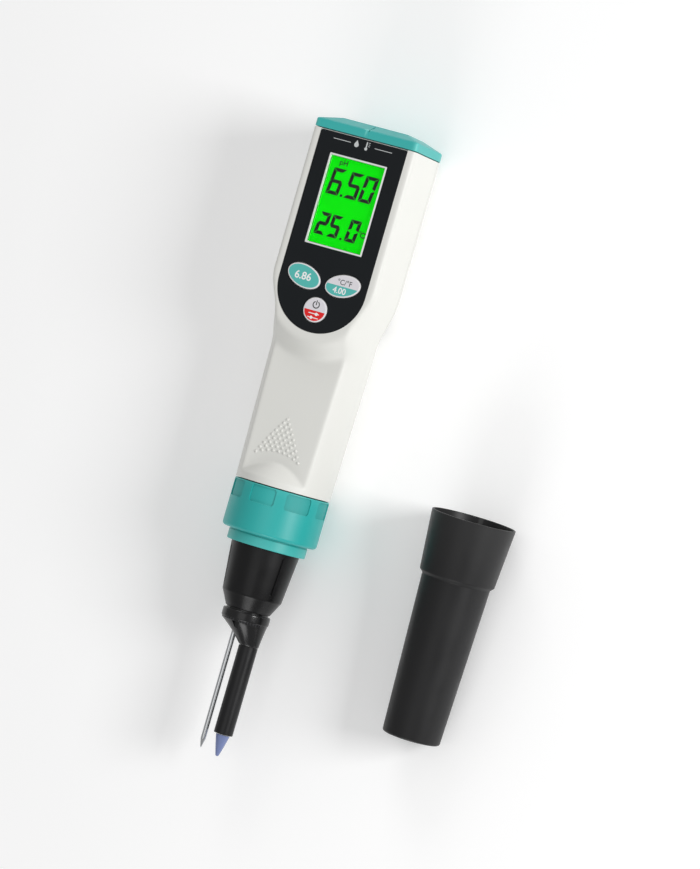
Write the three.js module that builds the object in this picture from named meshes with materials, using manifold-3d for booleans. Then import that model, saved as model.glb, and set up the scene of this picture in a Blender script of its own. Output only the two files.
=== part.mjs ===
// Handheld pH and temperature tester with a spear electrode, a separate steel temperature pin and a
// loose protective cap. Millimetres, +Z up. The meter lies on its back with its display facing +Z and its
// long axis along Y, head at +Y. The origin is the centre of the head's flat back face.
import * as THREE from "three";
import { mergeVertices } from "three/addons/utils/BufferGeometryUtils.js";
import Module from "manifold-3d";

const wasm = await Module();
wasm.setup();

// ---- Driving dimensions. A station is a distance from the electrode's tip along the long axis, and a
// ---- height is measured from that axis, positive towards the display.
const ORIGIN_STATION = 215;
const BACK_DEPTH = 19; // from the axis to the flat back
const GAP = 0.3; // air kept between neighbouring pieces
const ROUND = 36; // sides of a large round piece

// Casing
const SHELL_FOOT = 107;
const SHELL_TOP = 245.4;
const FOOT_RADIUS = 19;
const NECK_RADIUS = 20;
const NECK_STATION = 161;
const HEAD_HALF_WIDTH = 21.8;
const HEAD_START = 168;
const HEAD_FULL = 189;
const HEAD_SIDE_DEPTH = 6.5; // the side walls run straight back to here below the axis
const HEAD_BACK_HALF_WIDTH = 9.3;
const FRONT_HEIGHT = 19.4;
const FRONT_EDGE = 0.8; // rounding of the front plane's edge
const FLAT_HEIGHT = 12; // thumb flat on the handle
const CHIN_REACH = 9; // length of the scoop from the thumb flat up to the front plane
const SHOULDER_STATION = 116; // the cone at the foot meets the thumb flat here
const SHOULDER_FOOT = 109.5;
const PARTING = -7; // height of the joint between the two half shells
const WALL = 2.2;

// Display panel and keys
const PANEL_HALF_WIDTH = 18.4;
const PANEL_ARC_STATION = 186.5; // centre of the panel's round foot
const PANEL_TOP = 245.1;
const PANEL_THICKNESS = 0.6;
const PANEL_RECESS = 0.9;
const WINDOW_HALF_WIDTH = 12.3;
const WINDOW_FOOT = 201;
const WINDOW_TOP = 237.2;
const KEY_RISE = 0.5;
const OVAL_KEY = { x: 8.3, station: 188.4, long: 7.6, short: 4.56, tilt: 14 };
const ROUND_KEY = { station: 176.9, radius: 5.08 };

// Top cover
const TOP_BAND = 3.3;
const TOP_END = 251.6;
const TOP_PLATEAU = 14; // half width of the flat top
const SPIGOT_DEPTH = 3.5;

// Locking ring and threaded sleeve
const RING_RADIUS = 19;
const RING_FOOT = 87.4;
const RING_TOP = 106.6;
const RING_BORE = 15.9;
const COLLAR_RADIUS = 15.75;
const COLLAR_FOOT = 82.9;
const COLLAR_BORE = 14.15;
const COLLAR_SEAT = 88.2; // the step inside that carries the electrode's collar
const GRIP_PADS = 8;
const GRIP_PAD_HALF_TURN = 16; // degrees
const GRIP_PAD_DEPTH = 0.45;
const SLEEVE_RADIUS = 15.5;
const SLEEVE_BORE = 12.6;
const SLEEVE_FOOT = 93.4;

// Electrode
const CONE_TOP_RADIUS = 13.65;
const CONE_EDGE_STATION = 63.8;
const CONE_EDGE_RADIUS = 11.9;
const CONE_FOOT_STATION = 57.8;
const CONE_FOOT_RADIUS = 8.9;
const STEM_RADIUS = 12;
const STEM_TOP = 110.6;
const CORE_BORE = 6.5;
const FLANGE_RADIUS = 9.5;
const FLANGE_FOOT = 53.3;
const FLANGE_TOP = 57.1;
const TUBE = { x: 4.5, radius: 3.78, foot: 8.9, bore: 3 };
const PIN = { x: -3, radius: 1.07, tip: 1.2, shoulder: 4.7 };

// Protective cap
const CAP = {
  footX: 76.4, // where the foot lies
  footStation: 29,
  yaw: -1.2, // degrees that its axis is turned from the meter's
  length: 89.2,
  step: 24.2, // the wide part, measured from the mouth
  mouthRadius: 16.65,
  stepRadius: 14.9,
  neckRadius: 13.55,
  footRadius: 11.45,
  wall: 0.8,
};

// Inside
const BOARD_BACK = 6.6;
const BOARD_THICKNESS = 1.2;
const CELL = { x: 6, radius: 5.25, length: 44.5, foot: 197, height: -9.6 };
const SCREWS = [
  { name: "screw_head_left", x: -12.5, station: 178.6 },
  { name: "screw_head_right", x: 12.5, station: 178.6 },
  { name: "screw_handle_upper", x: 0, station: 160 },
  { name: "screw_handle_lower", x: 0, station: 130 },
];

// ---- Finishes
const finish = (color, roughness, metalness = 0, extra = {}) =>
  new THREE.MeshStandardMaterial({ color, roughness, metalness, ...extra });
const WHITE = finish(0xe6e6e2, 0.45);
const TEAL = finish(0x35a9a5, 0.42);
const KEY_TEAL = finish(0x58b9af, 0.4);
const KEY_GREY = finish(0xe0dee1, 0.4);
const KEY_RED = finish(0xd01a1c, 0.4);
const PANEL_BLACK = finish(0x1e2224, 0.28);
const BLACK = finish(0x262626, 0.5);
const GLASS = finish(0x8291c8, 0.12, 0, { transparent: true, opacity: 0.6 });
const CLEAR = finish(0xf4f8f6, 0.05, 0, { transparent: true, opacity: 0.25 });
const DISPLAY = finish(0x00ee10, 0.35);
const STEEL = finish(0xc9ccce, 0.2, 1);
const BOARD = finish(0x1f6b3a, 0.55);
const RUBBER = finish(0x1b1b1c, 0.85);
const GOLD = finish(0xd9b45a, 0.3, 1);
const CELL_SKIN = finish(0x2d4f9e, 0.35, 0.3);
const NATURAL = finish(0xd8d4c6, 0.55);

// ---- Solids from three.js geometry
const DEGREE = Math.PI / 180;

function solid(geometry) {
  const bare = (geometry.index ? geometry.toNonIndexed() : geometry).clone();
  for (const name of Object.keys(bare.attributes)) {
    if (name !== "position") bare.deleteAttribute(name);
  }
  const merged = mergeVertices(bare, 1e-4);
  const vertProperties = merged.attributes.position.array;
  const triVerts = new Uint32Array(merged.index.array);
  return new wasm.Manifold(new wasm.Mesh({ numProp: 3, vertProperties, triVerts }));
}

function meshOf(name, made, material) {
  const { vertProperties, triVerts } = made.getMesh();
  const geometry = new THREE.BufferGeometry()
    .setAttribute("position", new THREE.BufferAttribute(new Float32Array(vertProperties), 3))
    .setIndex(new THREE.BufferAttribute(new Uint32Array(triVerts), 1));
  const mesh = new THREE.Mesh(geometry, material);
  mesh.name = name;
  return mesh;
}

// A body of revolution about the long axis. Each profile point is [radius, station].
function turned(profile, { x = 0, height = 0, sides = ROUND } = {}) {
  const points = profile.map(([radius, station]) => new THREE.Vector2(radius, station));
  if (THREE.ShapeUtils.area(points) < 0) points.reverse();
  points.push(points[0].clone());
  return solid(new THREE.LatheGeometry(points, sides).translate(x, 0, height));
}

const rod = (radius, foot, top, place) =>
  turned([[0, foot], [radius, foot], [radius, top], [0, top]], place);
const sleeve = (inner, outer, foot, top, place) =>
  turned([[inner, foot], [outer, foot], [outer, top], [inner, top]], place);

// An outline across the width and along the stations, raised from one height to another.
function raised(shape, low, high, curveSegments = 12) {
  const options = { depth: high - low, bevelEnabled: false, curveSegments };
  return solid(new THREE.ExtrudeGeometry(shape, options).translate(0, 0, low));
}

// An upright round post.
function post(radius, x, station, low, high, sides = 14) {
  const geometry = new THREE.CylinderGeometry(radius, radius, high - low, sides);
  return solid(geometry.rotateX(Math.PI / 2).translate(x, station, (low + high) / 2));
}

function block(x0, x1, foot, top, low, high) {
  const geometry = new THREE.BoxGeometry(x1 - x0, top - foot, high - low);
  return solid(geometry.translate((x0 + x1) / 2, (foot + top) / 2, (low + high) / 2));
}

// A closed skin through sections that all have the same number of points, given as [x, station, height].
// Each end is a fan about the long axis.
function lofted(sections) {
  const count = sections[0].length;
  const last = sections.length - 1;
  const positions = sections.flat(2);
  const footCentre = positions.length / 3;
  positions.push(0, sections[0][0][1], 0, 0, sections[last][0][1], 0);
  const index = [];
  for (let i = 0; i < count; i++) {
    const next = (i + 1) % count;
    for (let row = 0; row < last; row++) {
      const a = row * count + i;
      const b = row * count + next;
      index.push(a, b, b + count, a, b + count, a + count);
    }
    index.push(footCentre, next, i, footCentre + 1, last * count + i, last * count + next);
  }
  const geometry = new THREE.BufferGeometry();
  geometry.setAttribute("position", new THREE.Float32BufferAttribute(positions, 3)).setIndex(index);
  return solid(geometry);
}

// ---- Outlines
function rectangle(halfWidth, foot, top) {
  const shape = new THREE.Shape();
  shape.moveTo(-halfWidth, foot).lineTo(halfWidth, foot).lineTo(halfWidth, top).lineTo(-halfWidth, top);
  return shape;
}

// Straight sides down to the panel arc's centre, then a half round foot.
function tongue(halfWidth, top) {
  const shape = new THREE.Shape();
  shape.moveTo(halfWidth, PANEL_ARC_STATION).lineTo(halfWidth, top).lineTo(-halfWidth, top);
  shape.lineTo(-halfWidth, PANEL_ARC_STATION);
  shape.absarc(0, PANEL_ARC_STATION, halfWidth, Math.PI, 2 * Math.PI, false);
  return shape;
}

function oval(side, growth) {
  const { x, station, long, short, tilt } = OVAL_KEY;
  const shape = new THREE.Shape();
  const turn = side * tilt * DEGREE;
  shape.absellipse(side * x, station, long + growth, short + growth, 0, 2 * Math.PI, false, turn);
  return shape;
}

function circle(x, station, radius) {
  const shape = new THREE.Shape();
  shape.absarc(x, station, radius, 0, 2 * Math.PI, false);
  return shape;
}

// ---- The casing's outer skin
const { clamp, lerp, smoothstep } = THREE.MathUtils;
const handleRadius = (station) =>
  lerp(FOOT_RADIUS, NECK_RADIUS, clamp((station - SHELL_FOOT) / (NECK_STATION - SHELL_FOOT), 0, 1));

// Height of the front surface: the thumb flat, rising through the chin's scoop to the front plane.
function frontHeight(x, station) {
  const below = Math.max(0, PANEL_ARC_STATION - station);
  const outside = Math.hypot(x, below) - (HEAD_HALF_WIDTH - FRONT_EDGE);
  const rise = 1 - smoothstep(outside, 0, CHIN_REACH);
  return lerp(FLAT_HEIGHT, FRONT_HEIGHT, rise);
}

// One section of the casing, walked from the front left corner over the display side and round the back:
// a circle with a flat on the handle, straight walls and rounded back corners on the head.
function casingSection(station) {
  const radius = handleRadius(station);
  const head = smoothstep(station, HEAD_START, HEAD_FULL);
  const mix = (onHandle, onHead) => lerp(onHandle, onHead, head);
  const points = [];
  const add = (x, height) => points.push([x, station, Math.max(height, -BACK_DEPTH)]);

  const cornerX = mix(Math.sqrt(radius ** 2 - FLAT_HEIGHT ** 2), HEAD_HALF_WIDTH - FRONT_EDGE);
  const frontSteps = 10;
  for (let i = 0; i <= frontSteps; i++) {
    const x = lerp(-cornerX, cornerX, i / frontSteps);
    add(x, frontHeight(x, station));
  }

  const side = [];
  const flatTurn = Math.asin(FLAT_HEIGHT / radius);
  const sideTurn = -19.5 * DEGREE;
  const backTurn = -62 * DEGREE;
  const scoop = frontHeight(cornerX, station) - mix(FLAT_HEIGHT, FRONT_HEIGHT);
  const wallSteps = 3;
  for (let i = 0; i <= wallSteps; i++) {
    const t = Math.max(i / wallSteps, 0.03);
    const turn = lerp(flatTurn, sideTurn, t);
    const onHead = lerp(FRONT_HEIGHT - FRONT_EDGE, -HEAD_SIDE_DEPTH, t);
    side.push([
      mix(radius * Math.cos(turn), HEAD_HALF_WIDTH),
      mix(radius * Math.sin(turn), onHead) + scoop * (1 - t),
    ]);
  }
  const cornerWidth = HEAD_HALF_WIDTH - HEAD_BACK_HALF_WIDTH;
  const cornerDepth = BACK_DEPTH - HEAD_SIDE_DEPTH;
  const cornerSteps = 5;
  for (let i = 1; i <= cornerSteps; i++) {
    const t = i / cornerSteps;
    const turn = lerp(sideTurn, backTurn, t);
    const sweep = (t * Math.PI) / 2;
    side.push([
      mix(radius * Math.cos(turn), HEAD_BACK_HALF_WIDTH + cornerWidth * Math.cos(sweep)),
      mix(radius * Math.sin(turn), -HEAD_SIDE_DEPTH - cornerDepth * Math.sin(sweep)),
    ]);
  }
  for (const [x, height] of side) add(x, height);
  add(0, mix(-radius, -BACK_DEPTH));
  for (const [x, height] of side.toReversed()) add(-x, height);
  return points;
}

// The skin from one station to another, with close sections only where its shape changes.
function casing(foot, top) {
  const stations = [foot, 135, 156];
  for (let station = 158; station < HEAD_FULL; station += 3.1) stations.push(station);
  stations.push(HEAD_FULL, top);
  return lofted(stations.map(casingSection));
}

// An outline across the width and height, run along the stations.
function channel(shape, foot, top, curveSegments = 6) {
  const options = { depth: top - foot, bevelEnabled: false, curveSegments };
  return solid(new THREE.ExtrudeGeometry(shape, options).rotateX(Math.PI / 2).translate(0, top, 0));
}

// The inside of the head, seen along the stations, drawn in by an inset.
function headHollow(inset = 0) {
  const halfWidth = HEAD_HALF_WIDTH - WALL - inset;
  const front = FRONT_HEIGHT - PANEL_RECESS - WALL - inset;
  const corner = HEAD_HALF_WIDTH - HEAD_BACK_HALF_WIDTH - WALL - inset;
  const shape = new THREE.Shape();
  shape.moveTo(-halfWidth, front).lineTo(-halfWidth, -HEAD_SIDE_DEPTH);
  shape.absarc(-HEAD_BACK_HALF_WIDTH, -HEAD_SIDE_DEPTH, corner, Math.PI, 1.5 * Math.PI, false);
  shape.absarc(HEAD_BACK_HALF_WIDTH, -HEAD_SIDE_DEPTH, corner, 1.5 * Math.PI, 2 * Math.PI, false);
  shape.lineTo(halfWidth, front);
  return shape;
}

// A round wire or lead through a list of points.
function lead(points, radius, steps, sides = 8) {
  const path = new THREE.CatmullRomCurve3(points.map((point) => new THREE.Vector3(...point)));
  const section = new THREE.Shape();
  for (let i = 0; i < sides; i++) {
    const turn = (i * 2 * Math.PI) / sides;
    section[i ? "lineTo" : "moveTo"](radius * Math.cos(turn), radius * Math.sin(turn));
  }
  return solid(new THREE.ExtrudeGeometry(section, { steps, bevelEnabled: false, extrudePath: path }));
}

// ---- Half shells
const RECESS_FLOOR = FRONT_HEIGHT - PANEL_RECESS;
const WALL_UNDERSIDE = RECESS_FLOOR - WALL;
const HANDLE_HOLLOW_RADIUS = 15.5;
const HANDLE_HOLLOW_HEIGHT = 10;
const HANDLE_HOLLOW_FOOT = 111.5;
const HANDLE_HOLLOW_TOP = 192;
const KEY_BAY_HALF_WIDTH = 17.2;
const KEY_CLEARANCE = 0.35;
const BOSS_RADIUS = 3;
const PILLAR_RADIUS = 4.3;
const SLEEVE_GROOVE = 14.4; // radius of the groove round the sleeve's top
const LOCK_FOOT = 108.4; // the narrow land in the casing's foot that grips that groove
const LOCK_TOP = 110.1;
const SCREW_WELL = { radius: 3.1, floor: -11.3 };
const SCREW_HOLE_RADIUS = 1.75;
const PILOT_DEPTH = 1.5;
const FAR = 60; // well outside the meter

function handleHollow() {
  const round = rod(HANDLE_HOLLOW_RADIUS, HANDLE_HOLLOW_FOOT, HANDLE_HOLLOW_TOP, { sides: 24 });
  return round.intersect(block(-FAR, FAR, SHELL_FOOT, HANDLE_HOLLOW_TOP, -FAR, HANDLE_HOLLOW_HEIGHT));
}

function caseHollow() {
  const head = channel(headHollow(), HEAD_FULL + 1, SHELL_TOP + 1);
  const underKeys = raised(tongue(KEY_BAY_HALF_WIDTH, HEAD_FULL + 3), -10, WALL_UNDERSIDE);
  // The foot's bore is narrower where it locks into the sleeve's groove.
  const sleeveBore = rod(SLEEVE_RADIUS + 0.4, SHELL_FOOT - 1, LOCK_FOOT + 0.1)
    .add(rod(SLEEVE_GROOVE + 0.4, LOCK_FOOT, LOCK_TOP))
    .add(rod(SLEEVE_GROOVE + 0.8, LOCK_TOP - 0.1, HANDLE_HOLLOW_FOOT + 0.1));
  return head.add(underKeys).add(handleHollow()).add(sleeveBore);
}

function outerSkin() {
  const shoulder = [
    [0, SHELL_FOOT], [FOOT_RADIUS, SHELL_FOOT], [FOOT_RADIUS, SHOULDER_FOOT],
    [FLAT_HEIGHT, SHOULDER_STATION], [0, SHOULDER_STATION],
  ];
  return casing(SHELL_FOOT, SHELL_TOP).add(turned(shoulder));
}

// Grip studs on the thumb flat, in arched rows that widen towards the foot.
function gripStuds() {
  const rows = 9;
  const apex = 132.8;
  const rowPitch = 1.62;
  const halfSpread = 9.1;
  const archPerSquare = 0.025;
  const studs = [];
  for (let row = 0; row < rows; row++) {
    const share = row / (rows - 1);
    for (let i = 0; i <= row; i++) {
      const x = row ? lerp(-1, 1, i / row) * halfSpread * share : 0;
      const arch = archPerSquare * ((halfSpread * share) ** 2 - x ** 2);
      const station = apex - row * rowPitch - arch + 0.6 * share;
      const stud = new THREE.CylinderGeometry(0.35, 0.65, 0.55, 4).rotateX(Math.PI / 2);
      studs.push(solid(stud.translate(x, station, FLAT_HEIGHT + 0.1)));
    }
  }
  return studs.reduce((all, stud) => all.add(stud));
}

// The holes through the panel and the wall under it: the window and the three keys'.
function panelOpenings() {
  return [
    rectangle(WINDOW_HALF_WIDTH, WINDOW_FOOT, WINDOW_TOP),
    oval(-1, KEY_CLEARANCE),
    oval(1, KEY_CLEARANCE),
    circle(0, ROUND_KEY.station, ROUND_KEY.radius + KEY_CLEARANCE),
  ];
}

const skin = outerSkin();
const hollowCase = skin.subtract(caseHollow());

function frontShell() {
  const low = PARTING + GAP / 2;
  let shell = hollowCase.intersect(block(-FAR, FAR, 0, 2 * SHELL_TOP, low, FAR));
  for (const { x, station } of SCREWS) {
    const boss = post(BOSS_RADIUS, x, station, low, WALL_UNDERSIDE + 0.5).intersect(skin);
    const pilot = post(SCREW_HOLE_RADIUS, x, station, PARTING - 1, PILOT_DEPTH);
    shell = shell.add(boss).subtract(pilot);
  }
  const over = FRONT_HEIGHT + 1;
  shell = shell.subtract(raised(tongue(PANEL_HALF_WIDTH + GAP / 2, SHELL_TOP + 1), RECESS_FLOOR, over));
  for (const opening of panelOpenings()) shell = shell.subtract(raised(opening, WALL_UNDERSIDE - 1, over));
  return shell.add(gripStuds());
}

function rearShell() {
  const below = block(-FAR, FAR, 0, 2 * SHELL_TOP, -FAR, PARTING - GAP / 2);
  let shell = hollowCase.intersect(below);
  for (const { x, station } of SCREWS) {
    const pillar = post(PILLAR_RADIUS, x, station, -BACK_DEPTH, PARTING - GAP / 2);
    const well = post(SCREW_WELL.radius, x, station, -BACK_DEPTH - 1, SCREW_WELL.floor);
    const hole = post(SCREW_HOLE_RADIUS, x, station, -BACK_DEPTH, PARTING + 1);
    shell = shell.add(pillar.intersect(skin)).subtract(well).subtract(hole);
  }
  return shell;
}

// A pan head with a cross recess, its point towards the display.
function screw({ x, station }) {
  const seat = SCREW_WELL.floor - GAP;
  const headDepth = 1.6;
  const head = post(2.7, x, station, seat - headDepth, seat);
  const shank = post(1.4, x, station, seat - 0.1, PILOT_DEPTH - 1);
  const slotTop = seat - headDepth + 0.7;
  const slots = block(x - 1.5, x + 1.5, station - 0.3, station + 0.3, seat - 3, slotTop).add(
    block(x - 0.3, x + 0.3, station - 1.5, station + 1.5, seat - 3, slotTop));
  return head.add(shank).subtract(slots);
}

// ---- Display, keys and board
const BOARD_TOP = BOARD_BACK + BOARD_THICKNESS;
const BEZEL_INSET = 0.15;
const BEZEL_WIDTH = 0.6;
const HOLDER_FOOT = 198.3;
const HOLDER_TOP = 240;

function frame(outer, inner, low, high) {
  return raised(outer, low, high).subtract(raised(inner, low - 1, high + 1));
}

// The window's outline drawn in by an inset.
const windowOutline = (inset) =>
  rectangle(WINDOW_HALF_WIDTH - inset, WINDOW_FOOT + inset, WINDOW_TOP - inset);

function panelOverlay() {
  const low = FRONT_HEIGHT - PANEL_THICKNESS;
  let panel = raised(tongue(PANEL_HALF_WIDTH, PANEL_TOP), low, FRONT_HEIGHT, 24);
  for (const opening of panelOpenings()) panel = panel.subtract(raised(opening, low - 1, FRONT_HEIGHT + 1));
  return panel;
}

// A key cap with a softened rim, a flange that keeps it under the wall, and a stem over its switch.
function key(outline, x, station) {
  const flangeTop = WALL_UNDERSIDE - 0.4;
  const flangeLow = flangeTop - 0.7;
  const rim = 0.35;
  const depth = FRONT_HEIGHT + KEY_RISE - flangeLow - rim;
  const bevel = { bevelThickness: rim, bevelSize: rim, bevelSegments: 1 };
  const cap = new THREE.ExtrudeGeometry(outline(-rim), { depth, curveSegments: 12, ...bevel });
  const over = block(-FAR, FAR, 0, SHELL_TOP, flangeLow, FAR);
  const body = solid(cap.translate(0, 0, flangeLow)).intersect(over);
  const flange = raised(outline(0.7), flangeLow, flangeTop);
  return body.add(flange).add(post(1.5, x, station, flangeLow - 1.1, flangeLow + 0.1, 12));
}

function tactSwitch(x, station) {
  const low = BOARD_TOP + GAP;
  const body = block(x - 3, x + 3, station - 3, station + 3, low, low + 3.5);
  return body.add(post(1.7, x, station, low + 3.4, low + 5, 12));
}

function mainBoard() {
  const head = raised(rectangle(18.9, 190, 241), BOARD_BACK, BOARD_TOP);
  const foot = raised(tongue(15.3, 195), BOARD_BACK, BOARD_TOP);
  let board = head.add(foot).add(block(-11.5, 11.5, 123.5, 180, BOARD_BACK, BOARD_TOP));
  for (const { x, station } of SCREWS) {
    board = board.subtract(post(BOSS_RADIUS + 0.4, x, station, 0, WALL_UNDERSIDE));
  }
  return board;
}

// ---- Battery bay
const TRAY_OUTER = 12.6;
const TRAY_WALL = 1;
const TRAY_FOOT = 192;
const TRAY_TOP = 241.4;
const TRAY_FLOOR = CELL.height - CELL.radius - 0.35;

function batteryTray() {
  const rim = CELL.height + 4.6;
  const outer = block(-TRAY_OUTER, TRAY_OUTER, TRAY_FOOT, TRAY_TOP, TRAY_FLOOR - TRAY_WALL, rim);
  const inner = TRAY_OUTER - TRAY_WALL;
  return outer.subtract(block(-inner, inner, TRAY_FOOT + TRAY_WALL, TRAY_TOP + 1, TRAY_FLOOR, FAR));
}

// A dry cell whose positive nub points to the head (up = true) or to the handle.
function cell(x, up) {
  const nub = 0.9;
  const nubRadius = 1.9;
  const { foot, length, radius, height } = CELL;
  const top = foot + length;
  const profile = up
    ? [[0, foot], [radius, foot], [radius, top - nub], [nubRadius, top - nub], [nubRadius, top], [0, top]]
    : [[0, foot], [nubRadius, foot], [nubRadius, foot + nub], [radius, foot + nub], [radius, top], [0, top]];
  return turned(profile, { x, height, sides: 24 });
}

function batterySpring(x) {
  const turns = 3;
  const steps = 10 * turns;
  const foot = TRAY_FOOT + TRAY_WALL + 0.7;
  const top = CELL.foot - 0.7;
  const points = [];
  for (let i = 0; i <= steps; i++) {
    const turn = (i / steps) * turns * 2 * Math.PI;
    const radius = lerp(3.8, 2.2, i / steps);
    const station = lerp(foot, top, i / steps);
    points.push([x + radius * Math.cos(turn), station, CELL.height + radius * Math.sin(turn)]);
  }
  return lead(points, 0.3, steps, 5);
}

// ---- Top cover: a band level with the head, hipped to a small flat top, and a hollow spigot
const COVER_FOOT = SHELL_TOP + GAP;
const SPIGOT_FOOT = COVER_FOOT - SPIGOT_DEPTH;
const SEAL_FOOT = SPIGOT_FOOT + 1.2;
const SEAL_TOP = SEAL_FOOT + 1.1;

function topCover() {
  const shrink = TOP_PLATEAU / HEAD_HALF_WIDTH;
  const shrunk = ([x, station, height]) => [x * shrink, station, height * shrink];
  const plateau = casingSection(TOP_END).map(shrunk);
  const band = lofted([casingSection(COVER_FOOT), casingSection(COVER_FOOT + TOP_BAND), plateau]);
  const spigot = channel(headHollow(0.35), SPIGOT_FOOT, COVER_FOOT + 0.5);
  const hollow = channel(headHollow(2), SPIGOT_FOOT - 1, COVER_FOOT + 1.6);
  const groove = channel(headHollow(-1), SEAL_FOOT - 0.1, SEAL_TOP + 0.1).subtract(
    channel(headHollow(1.15), SEAL_FOOT - 1, SEAL_TOP + 1));
  const tick = block(-0.1, 2, COVER_FOOT + TOP_BAND - 0.2, TOP_END + 1, 14.6, FAR);
  return band.add(spigot).subtract(hollow).subtract(groove).subtract(tick);
}

function coverSeal() {
  return channel(headHollow(0.12), SEAL_FOOT, SEAL_TOP).subtract(
    channel(headHollow(0.85), SEAL_FOOT - 1, SEAL_TOP + 1));
}

// The plate that joins the two cells at the head end, held off the cover by a leg.
function contactBridge() {
  const plateFoot = CELL.foot + CELL.length + 0.4;
  const plate = block(-11, 11, plateFoot, plateFoot + 0.6, CELL.height - 4.5, CELL.height + 4.5);
  return plate.add(block(-3, 3, plateFoot + 0.5, COVER_FOOT + 1.3, CELL.height - 2.5, CELL.height + 2.5));
}

// ---- Locking ring, sleeve and socket
function lockingRing() {
  const ring = turned([
    [COLLAR_BORE, COLLAR_FOOT], [COLLAR_RADIUS - 0.2, COLLAR_FOOT], [COLLAR_RADIUS, COLLAR_FOOT + 0.2],
    [COLLAR_RADIUS, RING_FOOT], [17.6, RING_FOOT], [18.6, RING_FOOT + 0.5], [RING_RADIUS, RING_FOOT + 1.4],
    [RING_RADIUS, RING_TOP - 0.4], [RING_RADIUS - 0.4, RING_TOP], [RING_BORE, RING_TOP],
    [RING_BORE, COLLAR_SEAT], [COLLAR_BORE, COLLAR_SEAT],
  ]);
  const from = Math.PI / 2 - GRIP_PAD_HALF_TURN * DEGREE;
  const to = Math.PI / 2 + GRIP_PAD_HALF_TURN * DEGREE;
  const padShape = new THREE.Shape();
  padShape.absarc(0, 0, RING_RADIUS - GRIP_PAD_DEPTH, from, to, false);
  padShape.absarc(0, 0, RING_RADIUS + 2, to, from, true);
  const pad = channel(padShape, RING_TOP - 7.1, RING_TOP - 0.5, 3);
  const pads = [];
  for (let i = 0; i < GRIP_PADS; i++) pads.push(pad.rotate([0, (i * 360) / GRIP_PADS, 0]));
  return pads.reduce((rest, one) => rest.subtract(one), ring);
}

function threadedSleeve() {
  return turned([
    [SLEEVE_BORE, SLEEVE_FOOT], [SLEEVE_RADIUS, SLEEVE_FOOT], [SLEEVE_RADIUS, LOCK_FOOT - 0.2],
    [SLEEVE_GROOVE, LOCK_FOOT - 0.2], [SLEEVE_GROOVE, LOCK_TOP + 0.1], [SLEEVE_GROOVE + 0.5, LOCK_TOP + 0.1],
    [SLEEVE_GROOVE + 0.5, HANDLE_HOLLOW_FOOT - 0.1], [SLEEVE_BORE, HANDLE_HOLLOW_FOOT - 0.1],
  ]);
}

const CONTACTS = 4;
const CONTACT_CIRCLE = 4.5;
const CONTACT_RADIUS = 0.55;
const SOCKET_FOOT = 111.9;
const PLUG_FOOT = 106.5;
const PLUG_TOP = 110.9;

// Round posts along the stations at the contacts' places.
function atContacts(radius, foot, top) {
  const posts = [];
  for (let i = 0; i < CONTACTS; i++) {
    const turn = ((i + 0.5) * 2 * Math.PI) / CONTACTS;
    const place = { x: CONTACT_CIRCLE * Math.cos(turn), height: CONTACT_CIRCLE * Math.sin(turn), sides: 10 };
    posts.push(rod(radius, foot, top, place));
  }
  return posts.reduce((all, one) => all.add(one));
}

function electrodeSocket() {
  const underFlat = block(-FAR, FAR, 0, SHELL_TOP, -FAR, HANDLE_HOLLOW_HEIGHT - 0.4);
  const flange = rod(14.9, SOCKET_FOOT, SOCKET_FOOT + 1.6).intersect(underFlat);
  const housing = rod(9.3, SOCKET_FOOT, SOCKET_FOOT + 11);
  return flange.add(housing).subtract(atContacts(CONTACT_RADIUS + 0.35, SOCKET_FOOT - 1, SOCKET_FOOT + 7.1));
}

const electrodePlug = () =>
  rod(9, PLUG_FOOT, PLUG_TOP).add(atContacts(CONTACT_RADIUS, PLUG_TOP - 0.1, PLUG_TOP + 5.6));

// ---- Electrode
function probeBody() {
  const collarFoot = 88.5;
  const collarTop = 91.6;
  const collarRadius = 15.3;
  const grooveRadius = 10.8;
  const grooveFoot = 98;
  const grooveTop = 100;
  const plugBore = 9.3;
  const plugSeat = PLUG_FOOT - GAP;
  let body = turned([
    [CORE_BORE, CONE_FOOT_STATION], [CONE_FOOT_RADIUS, CONE_FOOT_STATION],
    [CONE_EDGE_RADIUS - 0.3, CONE_EDGE_STATION - 0.7], [CONE_EDGE_RADIUS, CONE_EDGE_STATION],
    [CONE_TOP_RADIUS, COLLAR_FOOT], [CONE_TOP_RADIUS, collarFoot],
    [collarRadius, collarFoot], [collarRadius, collarTop], [STEM_RADIUS, collarTop],
    [STEM_RADIUS, grooveFoot], [grooveRadius, grooveFoot], [grooveRadius, grooveTop],
    [STEM_RADIUS, grooveTop], [STEM_RADIUS, STEM_TOP], [plugBore, STEM_TOP],
    [plugBore, plugSeat], [CORE_BORE, plugSeat],
  ]);
  // Shallow grooves down the cone, two each side of the front.
  for (const turn of [-124, -56, 56, 124]) {
    const groove = new THREE.BoxGeometry(0.9, 17, 2).translate(0, 73.5, CONE_TOP_RADIUS + 0.15);
    body = body.subtract(solid(groove.rotateY(turn * DEGREE)));
  }
  return body;
}

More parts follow.
